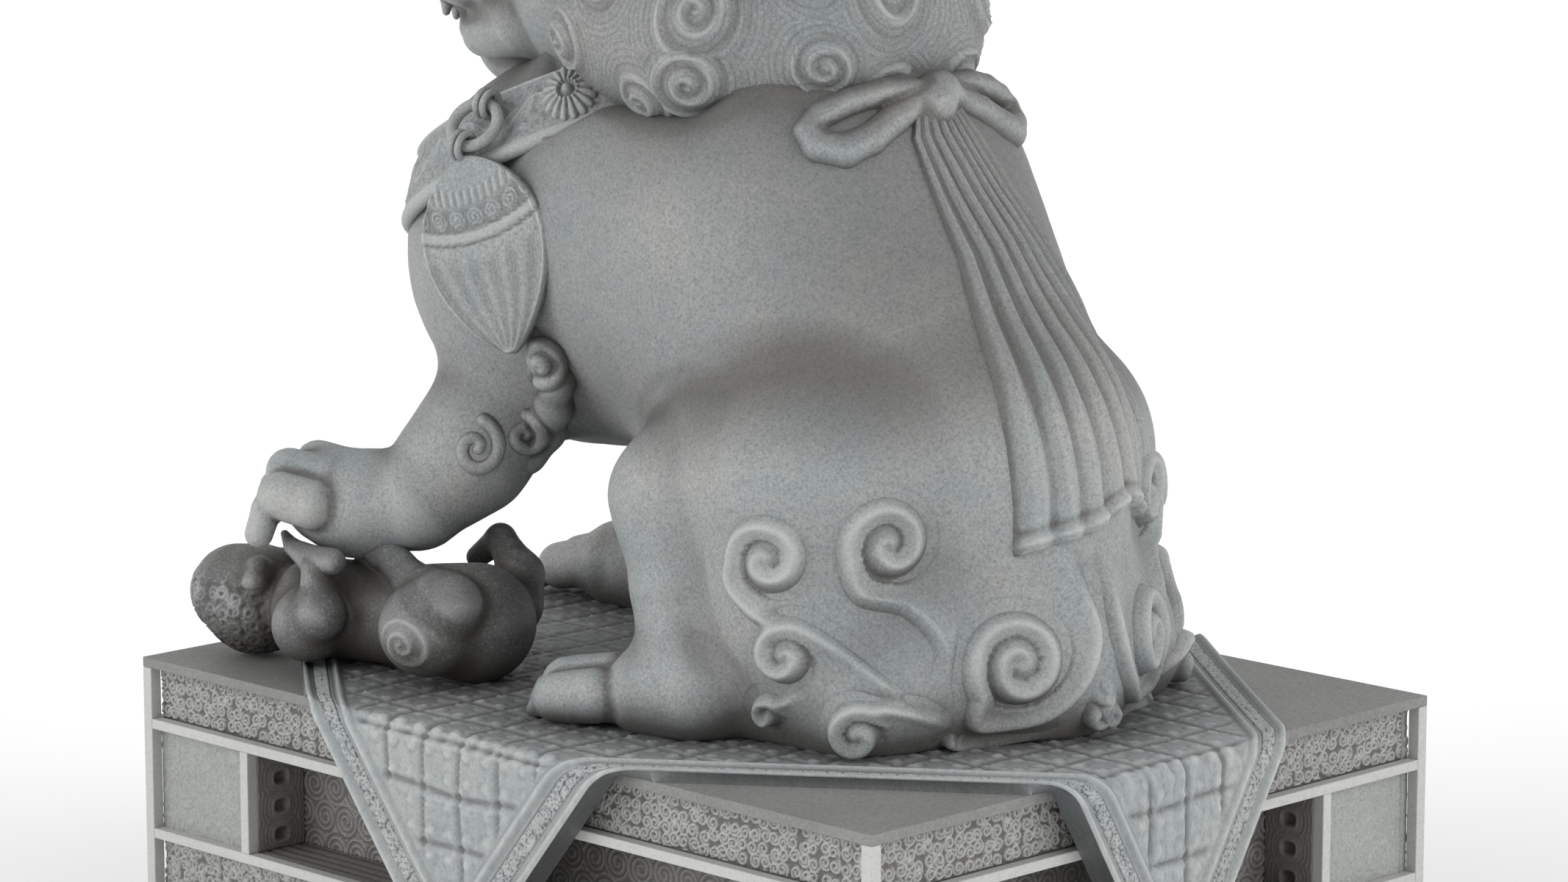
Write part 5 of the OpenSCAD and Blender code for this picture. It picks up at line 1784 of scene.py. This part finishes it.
class LION_OT_pendants(bpy.types.Operator):
    """Leaf-shaped pendants under the rings"""
    bl_idname = "guardian_lion.pendants"
    bl_label = "Pendants"

    def execute(self, context):
        width, length = 168 * MM, 232 * MM
        rows, cols, step = 129, 97, 8
        t = 0.002 + 0.996 * (0.5 - 0.5 * np.cos(np.linspace(0, np.pi, rows)))
        s = np.sin(np.linspace(-1, 1, cols) * np.pi / 2 * 0.96) / np.sin(np.pi / 2 * 0.96)
        tt, ss = np.meshgrid(t, s, indexing="ij")
        across = ss * leaf_half(tt) * width
        down = tt * length
        height, mark = self.relief(across, down, ss, tt, width, length)
        for name, side in (("left", 1), ("right", -1)):
            bail = joint_place(f"pendant_{name}_swing")
            out, along, up = hang_axes(PENDANT_LEAN, PENDANT_ROLL, side)
            top = bail - up * (LOOP_R - LOOP_WIRE / 2)
            sheet = top - down[..., None] * up + across[..., None] * along
            front = sheet + (4 * MM + height)[..., None] * out
            back = (sheet - 3 * MM * out)[::step, ::step]
            points, quads, others = backed_grid(front, back, step)
            count = len(points)
            shapes = [(points, quads)] + loop_pair(bail, side)
            all_points = np.vstack([p.reshape(-1, 3) for p, _ in shapes])
            all_quads, base = [], 0
            for p, q in shapes:
                all_quads.append(q + base)
                base += p.reshape(-1, 3).shape[0]
            mesh = new_mesh(f"pendant_{name}", all_points, np.vstack(all_quads), others)
            marks = np.concatenate([mark.ravel(), np.zeros(back[..., 0].size),
                                    np.full(len(all_points) - count, 0.22)])
            add_piece(f"pendant_{name}", mesh, finish_of("lion_stone"), "harness_stone",
                      [f"pendant_{name}"], body=f"pendant_{name}", carve=marks)
        return {"FINISHED"}

    def relief(self, x, y, s, t, width, length):
        """Crowned leaf: a rim, a plain cap, short petals, a row of spirals, a raised band, then
        small spirals and a medallion over flutes that run together at the tip."""
        crown = 7.5 * MM * np.clip(1 - s ** 2, 0, 1) ** 0.5 * (0.45 + 0.55 * smooth_step(0, 0.25, t))
        rim = bell(np.abs(s) - 0.955, 0.03) * smooth_step(0.1, 0.2, t) + 0.6 * bell(t - 0.985, 0.01)
        arc = y - 0.10 * width * (1 - s ** 2) + 0.10 * width
        level = arc / length
        petals = np.abs(np.sin(x / (5.4 * MM) * np.pi / 1.9))
        petal_zone = smooth_step(0.155, 0.17, level) * smooth_step(0.25, 0.235, level)
        petal = petal_zone * petals
        pitch = 25 * MM
        cell = np.mod(x / pitch + 0.5, 1) - 0.5
        cx, cy = cell * pitch, arc - 0.305 * length
        r = np.hypot(cx, cy)
        phase = 2.2 * r / (11 * MM) - np.arctan2(cy, cx) / TURN
        spiral = (0.5 + 0.5 * np.cos(TURN * phase)) * smooth_step(11.5 * MM, 10 * MM, r)
        band = smooth_step(0.365, 0.372, level) * smooth_step(0.425, 0.418, level)
        lines = bell(level - 0.362, 0.006) + bell(level - 0.43, 0.006)
        small_r = np.hypot((np.mod(x / (19 * MM), 1) - 0.5) * 19 * MM, arc - 0.475 * length)
        small_a = np.arctan2(arc - 0.475 * length, (np.mod(x / (19 * MM), 1) - 0.5) * 19 * MM)
        small = (0.5 + 0.5 * np.cos(TURN * (small_r / (3.4 * MM) - small_a / TURN)))
        small = small * smooth_step(9 * MM, 8 * MM, small_r) * (np.abs(x) > 20 * MM)
        med_r = np.hypot(x / 1.5, arc - 0.47 * length)
        beads = 0.5 + 0.5 * np.cos(14 * np.arctan2(arc - 0.47 * length, x))
        medal = (bell(med_r - 12 * MM, 1.6 * MM) * beads + 0.8 * bell(med_r - 7 * MM, 1.4 * MM)
                 + bell(med_r, 3 * MM))
        medal = medal * (arc > 0.44 * length)
        spread = s + 0.12 * (1 - t)
        flutes = 0.5 + 0.5 * np.cos(spread * TURN * 3.1)
        fine = 0.5 + 0.5 * np.cos(spread * TURN * 19)
        flute_zone = smooth_step(0.5, 0.56, level) * smooth_step(1.0, 0.93, t)
        height = (crown + 3.2 * MM * rim + 2.6 * MM * petal + 3.0 * MM * spiral + 2.6 * MM * band
                  - 1.6 * MM * lines + 1.5 * MM * small + 1.7 * MM * medal
                  + flute_zone * (2.0 * MM * flutes + 0.5 * MM * fine - 1.2 * MM))
        spiral_zone = smooth_step(0.25, 0.26, level) * smooth_step(0.36, 0.35, level)
        ground = petal_zone * (1 - petals) + spiral_zone * (1 - spiral)
        mark = (0.7 * rim + 0.5 * petal + 0.6 * spiral + 0.45 * band - 0.8 * lines - 0.55 * ground
                + 0.45 * small + 0.4 * medal + flute_zone * (0.35 * flutes + 0.25 * fine - 0.5))
        return height, np.clip(mark, -1, 1)


# ---- dowels ----

class LION_OT_dowels(bpy.types.Operator):
    """Finish of the steel dowels hidden in the stone"""
    bl_idname = "guardian_lion.dowels"
    bl_label = "Dowels"

    def execute(self, context):
        steel = brushed_steel()
        for name in ("seat_dowels", "neck_dowel", "cub_dowel"):
            frame["nodes"][name].data.materials.clear()
            frame["nodes"][name].data.materials.append(steel)
        return {"FINISHED"}


# ---- stage ----

class LION_OT_stage(bpy.types.Operator):
    """Camera, pale floor and soft even studio light"""
    bl_idname = "guardian_lion.stage"
    bl_label = "Stage"

    def execute(self, context):
        scene = context.scene
        s = scene.lion_stage
        lens = bpy.data.cameras.new("camera")
        lens.lens = s.lens
        lens.sensor_width = 36
        lens.clip_end = 200
        camera = bpy.data.objects.new("camera", lens)
        camera.location = s.camera_at
        camera.rotation_euler = s.camera_turn
        scene.collection.objects.link(camera)
        scene.camera = camera
        reach = 60.0
        corners = np.array([[-reach, -reach, 0], [reach, -reach, 0], [reach, reach, 0], [-reach, reach, 0],
                            [-reach, -reach, -0.1], [reach, -reach, -0.1], [reach, reach, -0.1],
                            [-reach, reach, -0.1]])
        quads = [[0, 1, 2, 3], [7, 6, 5, 4], [0, 4, 5, 1], [1, 5, 6, 2], [2, 6, 7, 3], [3, 7, 4, 0]]
        floor = bpy.data.objects.new("floor", new_mesh("floor", corners, quads, smooth=False))
        scene.collection.objects.link(floor)
        pale = bpy.data.materials.new("pale_floor")
        pale.use_nodes = True
        shader = pale.node_tree.nodes["Principled BSDF"]
        shader.inputs["Base Color"].default_value = (0.97, 0.97, 0.97, 1)
        shader.inputs["Roughness"].default_value = 0.9
        shader.inputs["Specular IOR Level"].default_value = 0.1
        floor.data.materials.append(pale)
        world = bpy.data.worlds.new("studio")
        world.use_nodes = True
        world.node_tree.nodes["Background"].inputs["Color"].default_value = (1, 1, 1, 1)
        world.node_tree.nodes["Background"].inputs["Strength"].default_value = s.sky
        scene.world = world
        scene.view_settings.view_transform = "Standard"
        for name, place, share in (("left_light", (3.9, -1.4, 2.4), 1.0),
                                   ("rear_light", (-1.2, 3.9, 2.4), 0.9)):
            lamp = bpy.data.lights.new(name, "SUN")
            lamp.energy = s.key * share
            lamp.angle = np.radians(50)
            light = bpy.data.objects.new(name, lamp)
            light.location = place
            aim = np.array([0.0, 0.0, 0.8]) - np.array(place)
            light.rotation_euler = (np.arccos(-aim[2] / np.linalg.norm(aim)), 0,
                                    np.arctan2(aim[1], aim[0]) - np.pi / 2)
            scene.collection.objects.link(light)
        return {"FINISHED"}


STEPS = (LION_OT_stage, LION_OT_pedestal, LION_OT_reliefs, LION_OT_cloth, LION_OT_lion_body,
         LION_OT_haunch, LION_OT_fringe, LION_OT_sash,
         LION_OT_mane, LION_OT_face, LION_OT_cub, LION_OT_collar, LION_OT_rings,
         LION_OT_pendants, LION_OT_dowels)


class LION_PT_panel(bpy.types.Panel):
    """The statue's pieces, one button each"""
    bl_label = "Guardian Lion"
    bl_idname = "LION_PT_panel"
    bl_space_type = "VIEW_3D"
    bl_region_type = "UI"
    bl_category = "Guardian Lion"

    def draw(self, context):
        for step in STEPS:
            self.layout.operator(step.bl_idname)


GROUPS = (("lion_stone", LionStone), ("lion_carving", LionCarving), ("lion_stage", LionStage))


def register():
    """Adds the properties, the operators and the panel."""
    for name, group in GROUPS:
        bpy.utils.register_class(group)
        setattr(bpy.types.Scene, name, bpy.props.PointerProperty(type=group))
    for step in STEPS:
        bpy.utils.register_class(step)
    bpy.utils.register_class(LION_PT_panel)


def unregister():
    """Takes away all that register added."""
    bpy.utils.unregister_class(LION_PT_panel)
    for step in reversed(STEPS):
        bpy.utils.unregister_class(step)
    for name, group in reversed(GROUPS):
        delattr(bpy.types.Scene, name)
        bpy.utils.unregister_class(group)


def main():
    """Builds the whole statue."""
    register()
    for step in STEPS:
        family, name = step.bl_idname.split(".")
        if getattr(getattr(bpy.ops, family), name)() != {"FINISHED"}:
            raise RuntimeError(f"{step.bl_label} did not finish")


if __name__ == "__main__":
    main()
